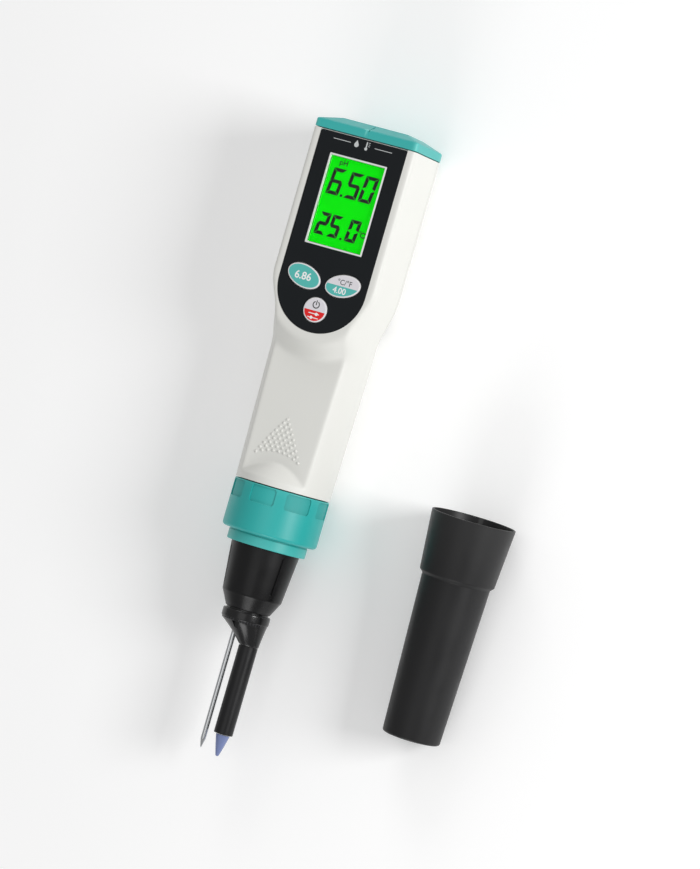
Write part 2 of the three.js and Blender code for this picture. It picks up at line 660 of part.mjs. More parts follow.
// The flange and the slanting nose that carry the glass tube and the steel pin side by side.
function probeHolder() {
  const noseFoot = 44.5;
  const stemRadius = CORE_BORE - GAP;
  const stemTop = 80;
  const holder = turned([
    [0, noseFoot], [8.35, noseFoot], [9.1, FLANGE_FOOT - 0.4], [FLANGE_RADIUS - 0.2, FLANGE_FOOT - 0.2],
    [FLANGE_RADIUS, FLANGE_FOOT], [FLANGE_RADIUS, FLANGE_TOP - 0.3], [FLANGE_RADIUS - 0.3, FLANGE_TOP],
    [stemRadius, FLANGE_TOP], [stemRadius, stemTop], [0, stemTop],
  ]);
  const slant = new THREE.Shape();
  slant.moveTo(-14, 40).lineTo(0.4, 40).lineTo(0.4, noseFoot);
  slant.lineTo(-9.5, FLANGE_FOOT - 0.15).lineTo(-14, FLANGE_FOOT - 0.15);
  return holder
    .subtract(raised(slant, -FAR, FAR))
    .subtract(rod(3.6, 40, FLANGE_TOP - 0.3, { x: TUBE.x, sides: 24 }))
    .subtract(rod(PIN.radius + GAP, 40, FLANGE_TOP - 0.3, { x: PIN.x, sides: 16 }))
    .subtract(rod(2.2, FLANGE_TOP - 1, stemTop + 1, { x: 3, sides: 12 }));
}

function electrodeTube() {
  const shoulder = 44.2;
  const top = FLANGE_TOP - 0.6;
  return turned([
    [TUBE.bore, TUBE.foot], [TUBE.radius, TUBE.foot], [TUBE.radius, shoulder], [3.3, shoulder],
    [3.3, top], [2.6, top], [2.6, shoulder], [TUBE.bore, shoulder - 1],
  ], { x: TUBE.x, sides: 20 });
}

function glassTip() {
  return turned([
    [0, 0], [0.45, 0.08], [0.65, 0.35], [1.15, 2], [1.8, 4.4], [2.4, 6.9], [2.72, 8.1], [2.72, 8.6], [0, 8.6],
  ], { x: TUBE.x, sides: 20 });
}

const temperaturePin = () => turned([
  [0, PIN.tip], [0.2, PIN.tip + 0.15], [PIN.radius, PIN.shoulder], [PIN.radius, FLANGE_TOP - 0.6],
  [0, FLANGE_TOP - 0.6],
], { x: PIN.x, sides: 16 });

// ---- Protective cap: a thin stepped cup, its mouth at the head end
function protectiveCap() {
  const { length, step, mouthRadius, stepRadius, neckRadius, footRadius, wall } = CAP;
  const stepStation = length - step;
  return turned([
    [0, 0], [footRadius - 1, 0], [footRadius - 0.25, 0.25], [footRadius, 1], [neckRadius, stepStation - 1.2],
    [stepRadius - 0.2, stepStation - 0.2], [stepRadius, stepStation + 0.3], [mouthRadius, length],
    [mouthRadius - wall, length], [stepRadius - wall, stepStation + 0.3],
    [neckRadius - wall, stepStation - 1.2 + wall], [footRadius - wall, 1.2], [0, 1.2],
  ]);
}

// ---- The assembly. Groups share the meter's frame: across, along the stations, up from the axis.
const meter = new THREE.Group();
meter.position.set(0, -ORIGIN_STATION, BACK_DEPTH);
const place = (name, made, material) => meter.add(meshOf(name, made, material));

place("front_shell", frontShell(), WHITE);
place("rear_shell", rearShell(), WHITE);
for (const spec of SCREWS) place(spec.name, screw(spec), STEEL);

place("panel_overlay", panelOverlay(), PANEL_BLACK);
const bezel = frame(windowOutline(BEZEL_INSET), windowOutline(BEZEL_INSET + BEZEL_WIDTH),
  RECESS_FLOOR - 1.5, FRONT_HEIGHT + 0.1);
place("display_bezel", bezel, WHITE);
const lensInset = BEZEL_INSET + BEZEL_WIDTH + 0.25;
place("display_lens", raised(windowOutline(lensInset), RECESS_FLOOR - 0.3, FRONT_HEIGHT - 0.3), CLEAR);
place("display_glass", raised(windowOutline(lensInset), RECESS_FLOOR - 3.5, RECESS_FLOOR - 0.6), DISPLAY);
place("display_backlight", raised(rectangle(12.5, 200, 238.2), 12.2, 14.7), NATURAL);
const holder = frame(rectangle(14.5, HOLDER_FOOT, HOLDER_TOP),
  rectangle(12.8, HOLDER_FOOT + 1.4, HOLDER_TOP - 1.5), BOARD_TOP + GAP, WALL_UNDERSIDE - 0.4);
place("display_holder", holder, NATURAL);

const ovalKey = (side) => key((growth) => oval(side, growth), side * OVAL_KEY.x, OVAL_KEY.station);
const roundOutline = (growth) => circle(0, ROUND_KEY.station, ROUND_KEY.radius + growth);
const roundKey = key(roundOutline, 0, ROUND_KEY.station);
place("key_left", ovalKey(-1), KEY_TEAL);
place("key_right", ovalKey(1), KEY_GREY);
place("key_power", roundKey, KEY_RED);
place("switch_left", tactSwitch(-OVAL_KEY.x, OVAL_KEY.station), STEEL);
place("switch_right", tactSwitch(OVAL_KEY.x, OVAL_KEY.station), STEEL);
place("switch_power", tactSwitch(0, ROUND_KEY.station), STEEL);
place("main_board", mainBoard(), BOARD);
place("microcontroller", block(-5, 5, 208, 218, BOARD_BACK - GAP - 1.6, BOARD_BACK - GAP), BLACK);

place("battery_tray", batteryTray(), BLACK);
place("battery_left", cell(-CELL.x, true), CELL_SKIN);
place("battery_right", cell(CELL.x, false), CELL_SKIN);
place("battery_spring", batterySpring(-CELL.x), STEEL);
const contactFoot = TRAY_FOOT + TRAY_WALL + GAP;
const contactHalf = { width: 4, depth: 3 };
const contact = block(CELL.x - contactHalf.width, CELL.x + contactHalf.width, contactFoot, contactFoot + 3,
  CELL.height - contactHalf.depth, CELL.height + contactHalf.depth);
place("battery_contact", contact, STEEL);
const batteryRoute = (x) =>
  [[x, 196, -7], [x, 199, -4.5], [x, 203, 1], [x, 204, BOARD_BACK - 2.5], [x, 204, BOARD_BACK - 0.4]];
const batteryLead = (x) => lead(batteryRoute(x), 0.5, 12);
place("battery_lead_negative", batteryLead(-13.6), BLACK);
place("battery_lead_positive", batteryLead(13.6), KEY_RED);

place("top_cover", topCover(), TEAL);
place("cover_seal", coverSeal(), RUBBER);
place("contact_bridge", contactBridge(), STEEL);

place("threaded_sleeve", threadedSleeve(), BLACK);
place("electrode_socket", electrodeSocket(), BLACK);
place("locking_ring", lockingRing(), TEAL);
place("sleeve_gasket", sleeve(12.3, 15.1, 91.9, 93.1, { sides: 24 }), RUBBER);
place("probe_body", probeBody(), BLACK);
place("stem_o_ring", sleeve(11.1, 12.4, 98.2, 99.8, { sides: 24 }), RUBBER);
place("probe_holder", probeHolder(), BLACK);
place("electrode_tube", electrodeTube(), BLACK);
place("reference_stem", sleeve(0.9, 1.9, 9, 55.5, { x: TUBE.x, sides: 16 }), GLASS);
place("silver_wire", rod(0.35, 9.2, 56, { x: TUBE.x, sides: 8 }), GOLD);
place("glass_tip", glassTip(), GLASS);
place("temperature_pin", temperaturePin(), STEEL);
place("electrode_plug", electrodePlug(), GOLD);
const sensorRoute = [[0.5, 80.5, 0], [0.5, 84, 0.5], [-1.5, 92, 1], [0.5, 101, -0.5], [0, 106.1, 0]];
place("sensor_lead", lead(sensorRoute, 1.3, 16), BLACK);

// The cap lies on the bench beside the meter, on its mouth's rim and its foot's rim.
const cap = new THREE.Group();
const capTilt = Math.atan2(CAP.mouthRadius - CAP.footRadius, CAP.length);
cap.rotation.set(capTilt, 0, CAP.yaw * DEGREE, "ZYX");
cap.position.set(CAP.footX, CAP.footStation - ORIGIN_STATION, CAP.footRadius * Math.cos(capTilt));
cap.add(meshOf("protective_cap", protectiveCap(), BLACK));

const root = new THREE.Group();
root.add(meter, cap);
export default root;
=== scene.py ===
import math

import bmesh
import bpy
import numpy as np
from mathutils import Matrix, Vector

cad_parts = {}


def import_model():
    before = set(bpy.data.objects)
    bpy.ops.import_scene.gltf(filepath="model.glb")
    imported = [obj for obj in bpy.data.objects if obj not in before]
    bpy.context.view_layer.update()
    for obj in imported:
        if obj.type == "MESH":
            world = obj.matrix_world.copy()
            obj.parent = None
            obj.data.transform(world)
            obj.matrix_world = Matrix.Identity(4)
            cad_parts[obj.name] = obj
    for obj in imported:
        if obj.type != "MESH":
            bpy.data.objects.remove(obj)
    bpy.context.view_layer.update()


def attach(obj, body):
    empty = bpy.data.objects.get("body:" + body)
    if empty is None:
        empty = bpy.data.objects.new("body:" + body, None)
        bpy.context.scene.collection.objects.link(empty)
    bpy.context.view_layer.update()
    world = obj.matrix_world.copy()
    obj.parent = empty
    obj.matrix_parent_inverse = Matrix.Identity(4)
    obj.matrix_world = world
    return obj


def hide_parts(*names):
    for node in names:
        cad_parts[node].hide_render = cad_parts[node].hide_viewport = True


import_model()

# ---- The meter's own frame, in millimetres: x across, station from the electrode's tip, height from the axis
MM = 0.001
ORIGIN_STATION = 215
BACK_DEPTH = 19

SHELL_FOOT, SHELL_TOP = 107, 245.4
FOOT_RADIUS, NECK_RADIUS, NECK_STATION = 19, 20, 161
HEAD_HALF_WIDTH, HEAD_START, HEAD_FULL = 21.8, 168, 189
HEAD_SIDE_DEPTH, HEAD_BACK_HALF_WIDTH = 6.5, 9.3
FRONT_HEIGHT, FRONT_EDGE, FLAT_HEIGHT, CHIN_REACH = 19.4, 0.8, 13.2, 9
SHOULDER_STATION, SHOULDER_FOOT = 116, 109.5
PARTING, SEAM = -7, 0.3
WALL = 2.2
PANEL_HALF_WIDTH, PANEL_ARC_STATION, PANEL_TOP = 18.4, 186.5, 245.1
PANEL_THICKNESS, PANEL_RECESS = 0.6, 0.9
WINDOW_HALF_WIDTH, WINDOW_FOOT, WINDOW_TOP = 12.3, 201, 237.2
WALL_UNDERSIDE = FRONT_HEIGHT - PANEL_RECESS - WALL
KEY_TOP = FRONT_HEIGHT + 0.5
KEY_CLEARANCE = 0.35
OVAL_X, OVAL_STATION, OVAL_LONG, OVAL_SHORT, OVAL_TILT = 8.3, 188.4, 7.3, 4.4, 14
ROUND_STATION, ROUND_RADIUS = 176.9, 4.85
COVER_FOOT, COVER_BAND, COVER_END, COVER_PLATEAU = 245.7, 3.3, 251.6, 14
RING_RADIUS, RING_FOOT, RING_TOP, RING_BORE = 19, 87.4, 106.6, 15.9
COLLAR_RADIUS, COLLAR_FOOT = 15.75, 82.9
GRIP_PADS = 8
TUBE_X, TUBE_RADIUS, PIN_X, PIN_RADIUS = 4.5, 3.78, -3, 1.07
SCREWS = {"screw_head_left": (-12.5, 178.6), "screw_head_right": (12.5, 178.6),
          "screw_handle_upper": (0, 160), "screw_handle_lower": (0, 130)}
WELL_FLOOR = -11.3
FAR = 60


# ---- Camera: level with the electrode's long axis, turned towards the meter's right, and leaning
VIEW_TURN, VIEW_RISE, VIEW_ROLL = 20.89, 0.41, 16.13
VIEW_DISTANCE = 1712.8
LENS = 183.28
AIM = (20.6, 134.5, 0)


def world(x, station, height):
    return Vector((x * MM, (station - ORIGIN_STATION) * MM, (height + BACK_DEPTH) * MM))


def add_camera():
    turn, rise, roll = (math.radians(angle) for angle in (VIEW_TURN, VIEW_RISE, VIEW_ROLL))
    back = Vector((math.sin(turn) * math.cos(rise), math.sin(rise), math.cos(turn) * math.cos(rise)))
    level = Vector((0, 1, 0)).cross(back).normalized()
    upright = back.cross(level)
    right = level * math.cos(roll) + upright * math.sin(roll)
    up = back.cross(right)
    camera = bpy.data.objects.new("camera", bpy.data.cameras.new("camera"))
    bpy.context.collection.objects.link(camera)
    place = Matrix((right, up, back)).transposed().to_4x4()
    place.translation = world(*AIM) + back * VIEW_DISTANCE * MM
    camera.matrix_world = place
    camera.data.lens = LENS
    camera.data.sensor_width = 36
    camera.data.clip_start = 0.05
    bpy.context.scene.camera = camera


# ---- Outlines
def arc(cx, cy, radius, start, end, steps):
    """Points on an arc, angles in degrees."""
    angles = np.radians(np.linspace(start, end, steps + 1))
    return [(cx + radius * math.cos(a), cy + radius * math.sin(a)) for a in angles]


def rounded(points, steps=5, closed=True):
    """An outline whose points (x, y, fillet) are turned into arcs where the fillet isn't 0."""
    result = []
    count = len(points)
    for i, point in enumerate(points):
        x, y = point[:2]
        fillet = point[2] if len(point) > 2 else 0
        if not fillet or (not closed and i in (0, count - 1)):
            result.append((x, y))
            continue
        here = Vector((x, y))
        before = (Vector(points[i - 1][:2]) - here).normalized()
        after = (Vector(points[(i + 1) % count][:2]) - here).normalized()
        half = before.angle(after) / 2
        reach = fillet / math.tan(half)
        centre = here + (before + after).normalized() * fillet / math.sin(half)
        first, last = here + before * reach - centre, here + after * reach - centre
        sweep = first.angle_signed(last)
        for step in range(steps + 1):
            turned = first.copy()
            turned.rotate(Matrix.Rotation(-sweep * step / steps, 2))
            result.append(tuple(centre + turned))
    return result


def tongue(half_width, top, corner=0.0, foot_steps=64):
    """Straight sides and a half round foot, counterclockwise from the foot's left end."""
    foot = arc(0, PANEL_ARC_STATION, half_width, 180, 360, foot_steps)
    if not corner:
        return foot + [(half_width, top), (-half_width, top)]
    right = arc(half_width - corner, top - corner, corner, 0, 90, 6)
    left = arc(corner - half_width, top - corner, corner, 90, 180, 6)
    return foot + right + left


def oval(side, growth=0.0, steps=96):
    tilt = math.radians(side * OVAL_TILT)
    points = []
    for angle in np.linspace(0, 2 * math.pi, steps, endpoint=False):
        along = (OVAL_LONG + growth) * math.cos(angle)
        across = (OVAL_SHORT + growth) * math.sin(angle)
        points.append((side * OVAL_X + along * math.cos(tilt) - across * math.sin(tilt),
                       OVAL_STATION + along * math.sin(tilt) + across * math.cos(tilt)))
    return points


def circle(x, y, radius, steps=64):
    return arc(x, y, radius, 0, 360, steps)[:-1]


def rectangle(x0, x1, y0, y1, corner=0.0):
    return rounded([(x0, y0, corner), (x1, y0, corner), (x1, y1, corner), (x0, y1, corner)], steps=4)


def window(inset, corner=0.0):
    return rectangle(inset - WINDOW_HALF_WIDTH, WINDOW_HALF_WIDTH - inset, WINDOW_FOOT + inset,
                     WINDOW_TOP - inset, corner)


def above(points, level):
    """The part of a convex outline whose second number is over a level."""
    kept = []
    for (x0, y0), (x1, y1) in zip(points, points[1:] + points[:1]):
        if y0 >= level:
            kept.append((x0, y0))
        if (y0 >= level) != (y1 >= level):
            t = (level - y0) / (y1 - y0)
            kept.append((x0 + t * (x1 - x0), level))
    return kept


def below(points, level):
    flipped = above([(x, -y) for x, y in points][::-1], -level)
    return [(x, -y) for x, y in flipped][::-1]


# ---- Meshes
def make_object(name, points, faces, material, smooth_angle=32):
    mesh = bpy.data.meshes.new(name)
    mesh.from_pydata([tuple(point) for point in points], [], faces)
    mesh.update()
    obj = bpy.data.objects.new(name, mesh)
    bpy.context.collection.objects.link(obj)
    clean(obj)
    if material:
        mesh.materials.append(material)
    soften(obj, smooth_angle)
    return obj


def clean(obj):
    """Welds doubles and turns every face outwards."""
    work = bmesh.new()
    work.from_mesh(obj.data)
    bmesh.ops.remove_doubles(work, verts=work.verts, dist=1e-7)
    bmesh.ops.recalc_face_normals(work, faces=work.faces)
    if work.calc_volume(signed=True) < 0:
        bmesh.ops.reverse_faces(work, faces=work.faces)
    work.to_mesh(obj.data)
    work.free()


def soften(obj, angle=32):
    """Smooth shading with edges kept sharp over an angle."""
    obj.data.polygons.foreach_set("use_smooth", [True] * len(obj.data.polygons))
    obj.data.set_sharp_from_angle(angle=math.radians(angle))


def skin_rows(name, rows, material, cap_ends=True, loop=False, smooth_angle=32):
    """A closed skin over rows of points. Each row is a closed ring with the same count."""
    count = len(rows[0])
    points = [point for row in rows for point in row]
    faces = []
    spans = len(rows) if loop else len(rows) - 1
    for r in range(spans):
        following = (r + 1) % len(rows)
        for i in range(count):
            j = (i + 1) % count
            faces.append((r * count + i, r * count + j, following * count + j, following * count + i))
    if cap_ends and not loop:
        faces.append(tuple(range(count)))
        faces.append(tuple(range((len(rows) - 1) * count, len(rows) * count)))
    return make_object(name, points, faces, material, smooth_angle)


def lathe(name, profile, material=None, x=0, height=0, sides=96, smooth_angle=32, closed=False):
    """A body of revolution about the long axis from (radius, station) points. An open profile starts and
    ends on the axis; a closed one is a ring."""
    points, faces, rings = [], [], []
    for radius, station in profile:
        if radius < 1e-6:
            rings.append([len(points)])
            points.append(world(x, station, height))
            continue
        rings.append(list(range(len(points), len(points) + sides)))
        for i in range(sides):
            turn = 2 * math.pi * i / sides
            points.append(world(x + radius * math.sin(turn), station, height + radius * math.cos(turn)))
    pairs = list(zip(rings, rings[1:])) + ([(rings[-1], rings[0])] if closed else [])
    for low, high in pairs:
        for i in range(sides):
            j = (i + 1) % sides
            if len(low) == 1 and len(high) == 1:
                continue
            if len(low) == 1:
                faces.append((low[0], high[j], high[i]))
            elif len(high) == 1:
                faces.append((low[i], low[j], high[0]))
            else:
                faces.append((low[i], low[j], high[j], high[i]))
    return make_object(name, points, faces, material, smooth_angle)


def drawn_in(outline, inset):
    """An outline moved inwards along its own normals. It runs counterclockwise."""
    points = np.array(outline)
    before = points - np.roll(points, 1, axis=0)
    after = np.roll(points, -1, axis=0) - points
    before /= np.linalg.norm(before, axis=1)[:, None]
    after /= np.linalg.norm(after, axis=1)[:, None]
    inward = np.stack([-before[:, 1] - after[:, 1], before[:, 0] + after[:, 0]], axis=1)
    inward /= np.maximum(np.linalg.norm(inward, axis=1), 1e-6)[:, None]
    turn = np.clip((inward * np.stack([-after[:, 1], after[:, 0]], axis=1)).sum(axis=1), 0.35, 1)
    return points + inward * (inset / turn)[:, None]


def prism(name, outline, low, high, material=None, top_edge=0.0, foot_edge=0.0, crown=0.0, smooth_angle=32):
    """An outline across x and stations raised between two heights, its edges rounded."""
    area = sum(x0 * y1 - x1 * y0 for (x0, y0), (x1, y1) in zip(outline, outline[1:] + outline[:1]))
    if area < 0:
        outline = outline[::-1]
    levels = []
    steps = 4
    if foot_edge:
        levels += [(foot_edge * (1 - math.sin(t)), low + foot_edge * (1 - math.cos(t)))
                   for t in np.linspace(0, math.pi / 2, steps + 1)]
    else:
        levels.append((0, low))
    if top_edge:
        levels += [(top_edge * (1 - math.cos(t)), high - top_edge * (1 - math.sin(t)))
                   for t in np.linspace(0, math.pi / 2, steps + 1)]
    else:
        levels.append((0, high))
    if crown:
        levels += [(top_edge + reach, high + crown * (1 - (1 - reach / 4) ** 2)) for reach in (0.8, 1.6, 2.4)]
    rows = []
    for inset, level in levels:
        ring = drawn_in(outline, inset) if inset else np.array(outline)
        rows.append([world(x, y, level) for x, y in ring])
    return skin_rows(name, rows, material, smooth_angle=smooth_angle)


def channel(name, outline, foot, top, material=None, edge=0.0, smooth_angle=32):
    """An outline across x and heights run between two stations, its ends' edges rounded."""
    area = sum(x0 * y1 - x1 * y0 for (x0, y0), (x1, y1) in zip(outline, outline[1:] + outline[:1]))
    if area < 0:
        outline = outline[::-1]
    levels = [(0, foot), (0, top)]
    if edge:
        quarter = np.linspace(0, math.pi / 2, 4)
        levels = [(edge * (1 - math.sin(t)), foot + edge * (1 - math.cos(t))) for t in quarter]
        levels += [(edge * (1 - math.cos(t)), top - edge * (1 - math.sin(t))) for t in quarter]
    rows = []
    for inset, station in levels:
        ring = drawn_in(outline, inset) if inset else np.array(outline)
        rows.append([world(x, station, height) for x, height in ring])
    return skin_rows(name, rows, material, smooth_angle=smooth_angle)


def post(name, x, station, radius, low, high, material=None, sides=40, top_edge=0.0):
    return prism(name, circle(x, station, radius, sides), low, high, material, top_edge=top_edge)


def block(x0, x1, foot, top, low, high, name="block", material=None):
    return prism(name, rectangle(x0, x1, foot, top), low, high, material)


def applied(obj):
    """Swaps an object's mesh for the one its modifiers make."""
    seen = obj.evaluated_get(bpy.context.evaluated_depsgraph_get())
    mesh = bpy.data.meshes.new_from_object(seen)
    obj.modifiers.clear()
    old = obj.data
    obj.data = mesh
    bpy.data.meshes.remove(old)


def combine(target, tools, operation="DIFFERENCE"):
    """Cuts a target with closed meshes, or joins or crosses them."""
    for tool in tools:
        modifier = target.modifiers.new("combine", "BOOLEAN")
        modifier.operation = operation
        modifier.solver = "MANIFOLD"
        modifier.object = tool
        applied(target)
        old = tool.data
        bpy.data.objects.remove(tool)
        bpy.data.meshes.remove(old)
    return target


def cut(target, *tools):
    return combine(target, tools, "DIFFERENCE")


def join(target, *tools):
    return combine(target, tools, "UNION")


def crossed(target, *tools):
    return combine(target, tools, "INTERSECT")


def even_normals(obj, angle=32):
    """Flat areas shade flat next to small rounded edges."""
    soften(obj, angle)
    modifier = obj.modifiers.new("even_normals", "WEIGHTED_NORMAL")
    modifier.keep_sharp = True
    modifier.weight = 80
    return obj


# ---- Materials
class Nodes:
    """A material's node tree with the few steps that the finishes below share."""

    def __init__(self, name, roughness=0.5, metallic=0.0):
        self.material = bpy.data.materials.new(name)
        self.material.use_nodes = True
        self.tree = self.material.node_tree
        self.shader = self.tree.nodes["Principled BSDF"]
        self.shader.inputs["Roughness"].default_value = roughness
        self.shader.inputs["Metallic"].default_value = metallic
        self.place = self.tree.nodes.new("ShaderNodeTexCoord").outputs["Object"]

    def link(self, source, target):
        self.tree.links.new(source, target)

    def noise(self, scale, detail=3.0, stretch=(1, 1, 1), distortion=0.0):
        """Noise whose scale is in features per metre."""
        mapping = self.tree.nodes.new("ShaderNodeMapping")
        mapping.inputs["Scale"].default_value = stretch
        self.link(self.place, mapping.inputs["Vector"])
        node = self.tree.nodes.new("ShaderNodeTexNoise")
        node.inputs["Scale"].default_value = scale
        node.inputs["Detail"].default_value = detail
        node.inputs["Distortion"].default_value = distortion
        self.link(mapping.outputs["Vector"], node.inputs["Vector"])
        return node.outputs["Fac"]

    def spread(self, value, low, high, start=0.3, end=0.7):
        node = self.tree.nodes.new("ShaderNodeMapRange")
        for socket, number in (("From Min", start), ("From Max", end), ("To Min", low), ("To Max", high)):
            node.inputs[socket].default_value = number
        self.link(value, node.inputs["Value"])
        return node.outputs["Result"]

    def mix(self, factor, first, second):
        """A colour between two, each an (r, g, b) or a socket."""
        node = self.tree.nodes.new("ShaderNodeMix")
        node.data_type = "RGBA"
        self.link(factor, node.inputs["Factor"])
        for socket, colour in ((node.inputs[6], first), (node.inputs[7], second)):
            if isinstance(colour, tuple):
                socket.default_value = (*colour, 1)
            else:
                self.link(colour, socket)
        return node.outputs[2]

    def colour(self, socket):
        self.link(socket, self.shader.inputs["Base Color"])

    def bump(self, heights):
        """Bumps laid over each other, each a (socket, depth in metres)."""
        normal = None
        for value, depth in heights:
            node = self.tree.nodes.new("ShaderNodeBump")
            node.inputs["Strength"].default_value = 1
            node.inputs["Distance"].default_value = depth
            self.link(value, node.inputs["Height"])
            if normal:
                self.link(normal, node.inputs["Normal"])
            normal = node.outputs["Normal"]
        self.link(normal, self.shader.inputs["Normal"])

    def edges(self, start=0.52, end=0.62):
        """1 on convex edges of a closely meshed body, 0 elsewhere."""
        geometry = self.tree.nodes.new("ShaderNodeNewGeometry")
        return self.spread(geometry.outputs["Pointiness"], 0, 1, start, end)


def linear(*rgb):
    """Linear colour from 8-bit display values."""
    return tuple(((v / 255 + 0.055) / 1.055) ** 2.4 if v > 10 else v / 255 / 12.92 for v in rgb)


def toned(colour, factor):
    return tuple(min(1, channel_value * factor) for channel_value in colour)


def plastic(name, colour, roughness, grain=0.000012, grain_scale=2600, mottle=0.05, spread=0.05, worn=None,
            coat=0.0, specular=0.5):
    """Moulded plastic: faint mottle, uneven gloss, a fine spark-eroded grain and rubbed edges."""
    nodes = Nodes(name, roughness)
    nodes.shader.inputs["Specular IOR Level"].default_value = specular
    if coat:
        nodes.shader.inputs["Coat Weight"].default_value = coat
        nodes.shader.inputs["Coat Roughness"].default_value = 0.12
    body = nodes.mix(nodes.noise(45, 4), toned(colour, 1 - mottle), toned(colour, 1 + mottle / 2))
    if worn:
        body = nodes.mix(nodes.edges(), body, worn)
    nodes.colour(body)
    smudge = nodes.noise(70, 5, distortion=0.6)
    nodes.link(nodes.spread(smudge, roughness - spread, roughness + spread), nodes.shader.inputs["Roughness"])
    nodes.bump([(nodes.noise(grain_scale, 2), grain), (nodes.noise(160, 2), grain * 1.4)])
    return nodes.material


def metal(name, colour, roughness, stretch=(1, 1, 1), scratch_scale=900, depth=0.000006):
    """Bare metal with fine lines along its drawn direction."""
    nodes = Nodes(name, roughness, 1.0)
    nodes.colour(nodes.mix(nodes.noise(60, 3), toned(colour, 0.9), colour))
    lines = nodes.noise(scratch_scale, 4, stretch)
    nodes.link(nodes.spread(lines, roughness * 0.7, roughness * 1.5), nodes.shader.inputs["Roughness"])
    nodes.bump([(lines, depth)])
    return nodes.material


def clear_glass(name, colour, roughness=0.04, transmission=1.0, ior=1.46):
    nodes = Nodes(name, roughness)
    nodes.shader.inputs["Transmission Weight"].default_value = transmission
    nodes.shader.inputs["IOR"].default_value = ior
    nodes.colour(nodes.mix(nodes.noise(120, 2), toned(colour, 0.97), colour))
    nodes.bump([(nodes.noise(300, 2), 0.000002)])
    return nodes.material


def glowing(name, colour, strength, roughness=0.35):
    """A backlit face, a little uneven where its lamps are."""
    nodes = Nodes(name, roughness)
    nodes.shader.inputs["Specular IOR Level"].default_value = 0.1
    shade = nodes.mix(nodes.noise(35, 2), toned(colour, 0.93), colour)
    nodes.colour(shade)
    nodes.link(shade, nodes.shader.inputs["Emission Color"])
    nodes.shader.inputs["Emission Strength"].default_value = strength
    nodes.bump([(nodes.noise(1800, 1), 0.000001)])
    return nodes.material


WHITE_BODY = plastic("white_body", linear(226, 226, 221), 0.42, mottle=0.012, grain=0.000007, specular=0.4)
TEAL_BODY = plastic("teal_body", linear(42, 172, 168), 0.38, mottle=0.05, worn=linear(112, 208, 200))
TEAL_PAD = plastic("teal_pad", linear(40, 162, 158), 0.55, mottle=0.06, grain=0.00004, grain_scale=1500)
PANEL_FILM = plastic("panel_film", linear(19, 23, 26), 0.4, grain=0.000004,
                     mottle=0.08, spread=0.05, specular=0.2)
KEY_RIM = plastic("key_rim", linear(232, 230, 232), 0.4, mottle=0.02)
KEY_TEAL = plastic("key_teal", linear(84, 186, 178), 0.38, mottle=0.04)
KEY_GREY = plastic("key_grey", linear(224, 221, 226), 0.4, mottle=0.03)
KEY_RED = plastic("key_red", linear(226, 22, 24), 0.36, mottle=0.05)
MARK_WHITE = plastic("mark_white", linear(242, 242, 242), 0.45, mottle=0.02)
MARK_BLACK = plastic("mark_black", linear(16, 18, 18), 0.5, mottle=0.1)
MARK_GREY = plastic("mark_grey", linear(196, 200, 200), 0.45, mottle=0.03)
BLACK_BODY = plastic("black_body", linear(17, 17, 18), 0.34, mottle=0.12, spread=0.07, grain=0.000012,
                     worn=linear(38, 38, 40), specular=0.3)
BLACK_GLOSS = plastic("black_gloss", linear(20, 20, 21), 0.22, mottle=0.12, spread=0.06, grain=0.00001,
                      worn=linear(46, 46, 48), specular=0.45)
BLACK_MATT = plastic("black_matt", linear(34, 34, 35), 0.6, mottle=0.1, grain=0.00003)
MARK_GREY_DARK = plastic("mark_grey_dark", linear(70, 74, 76), 0.45, mottle=0.05)
BLACK_CAP = plastic("black_cap", linear(27, 27, 28), 0.44, mottle=0.1, spread=0.06, grain=0.000012,
                    worn=linear(60, 60, 60), specular=0.32)
RUBBER = plastic("rubber", linear(24, 24, 25), 0.8, mottle=0.15, grain=0.00003)
LEAD_RED = plastic("lead_red", linear(196, 26, 28), 0.5, mottle=0.06)
NATURAL = plastic("natural_plastic", linear(214, 210, 198), 0.5, mottle=0.04)
BOARD_GREEN = plastic("board_green", linear(24, 98, 52), 0.42, mottle=0.12, coat=0.4)
CELL_JACKET = plastic("cell_jacket", linear(40, 84, 164), 0.28, mottle=0.06, coat=0.5)
STEEL = metal("steel", linear(214, 216, 218), 0.16, stretch=(1, 0.05, 1))
NICKEL = metal("nickel", linear(200, 200, 196), 0.25)
SILVER = metal("silver", linear(222, 222, 220), 0.22)
BRASS = metal("gold_plate", linear(226, 190, 110), 0.25)
TIP_GLASS = clear_glass("tip_glass", linear(132, 146, 192), 0.12, 0.3)
INNER_GLASS = clear_glass("inner_glass", linear(225, 230, 240), 0.05)
LENS_CLEAR = clear_glass("lens_clear", linear(252, 255, 252), 0.01, ior=1.12)
DISPLAY_GREEN = glowing("display_green", linear(2, 246, 6), 0.22, 0.5)


# ---- Casing
def eased(value):
    value = np.clip(value, 0, 1)
    return value * value * (3 - 2 * value)


def mixed(first, second, amount):
    return first + (second - first) * amount


def handle_radius(station):
    share = (station - SHELL_FOOT) / (NECK_STATION - SHELL_FOOT)
    return mixed(FOOT_RADIUS, NECK_RADIUS, np.clip(share, 0, 1))


def front_height(x, station):
    """The thumb flat, the scoop that rises from it to the front plane, and the cone at the foot."""
    outside = np.hypot(x, max(0, PANEL_ARC_STATION - station)) - (HEAD_HALF_WIDTH - FRONT_EDGE)
    height = mixed(FRONT_HEIGHT, FLAT_HEIGHT, eased(outside / CHIN_REACH))
    slope = (FOOT_RADIUS - FLAT_HEIGHT) / (SHOULDER_STATION - SHOULDER_FOOT)
    cone = min(handle_radius(station), FLAT_HEIGHT + (SHOULDER_STATION - station) * slope)
    if cone > FLAT_HEIGHT:
        height = np.maximum(height, np.sqrt(np.maximum(0, cone ** 2 - x ** 2)))
    return height


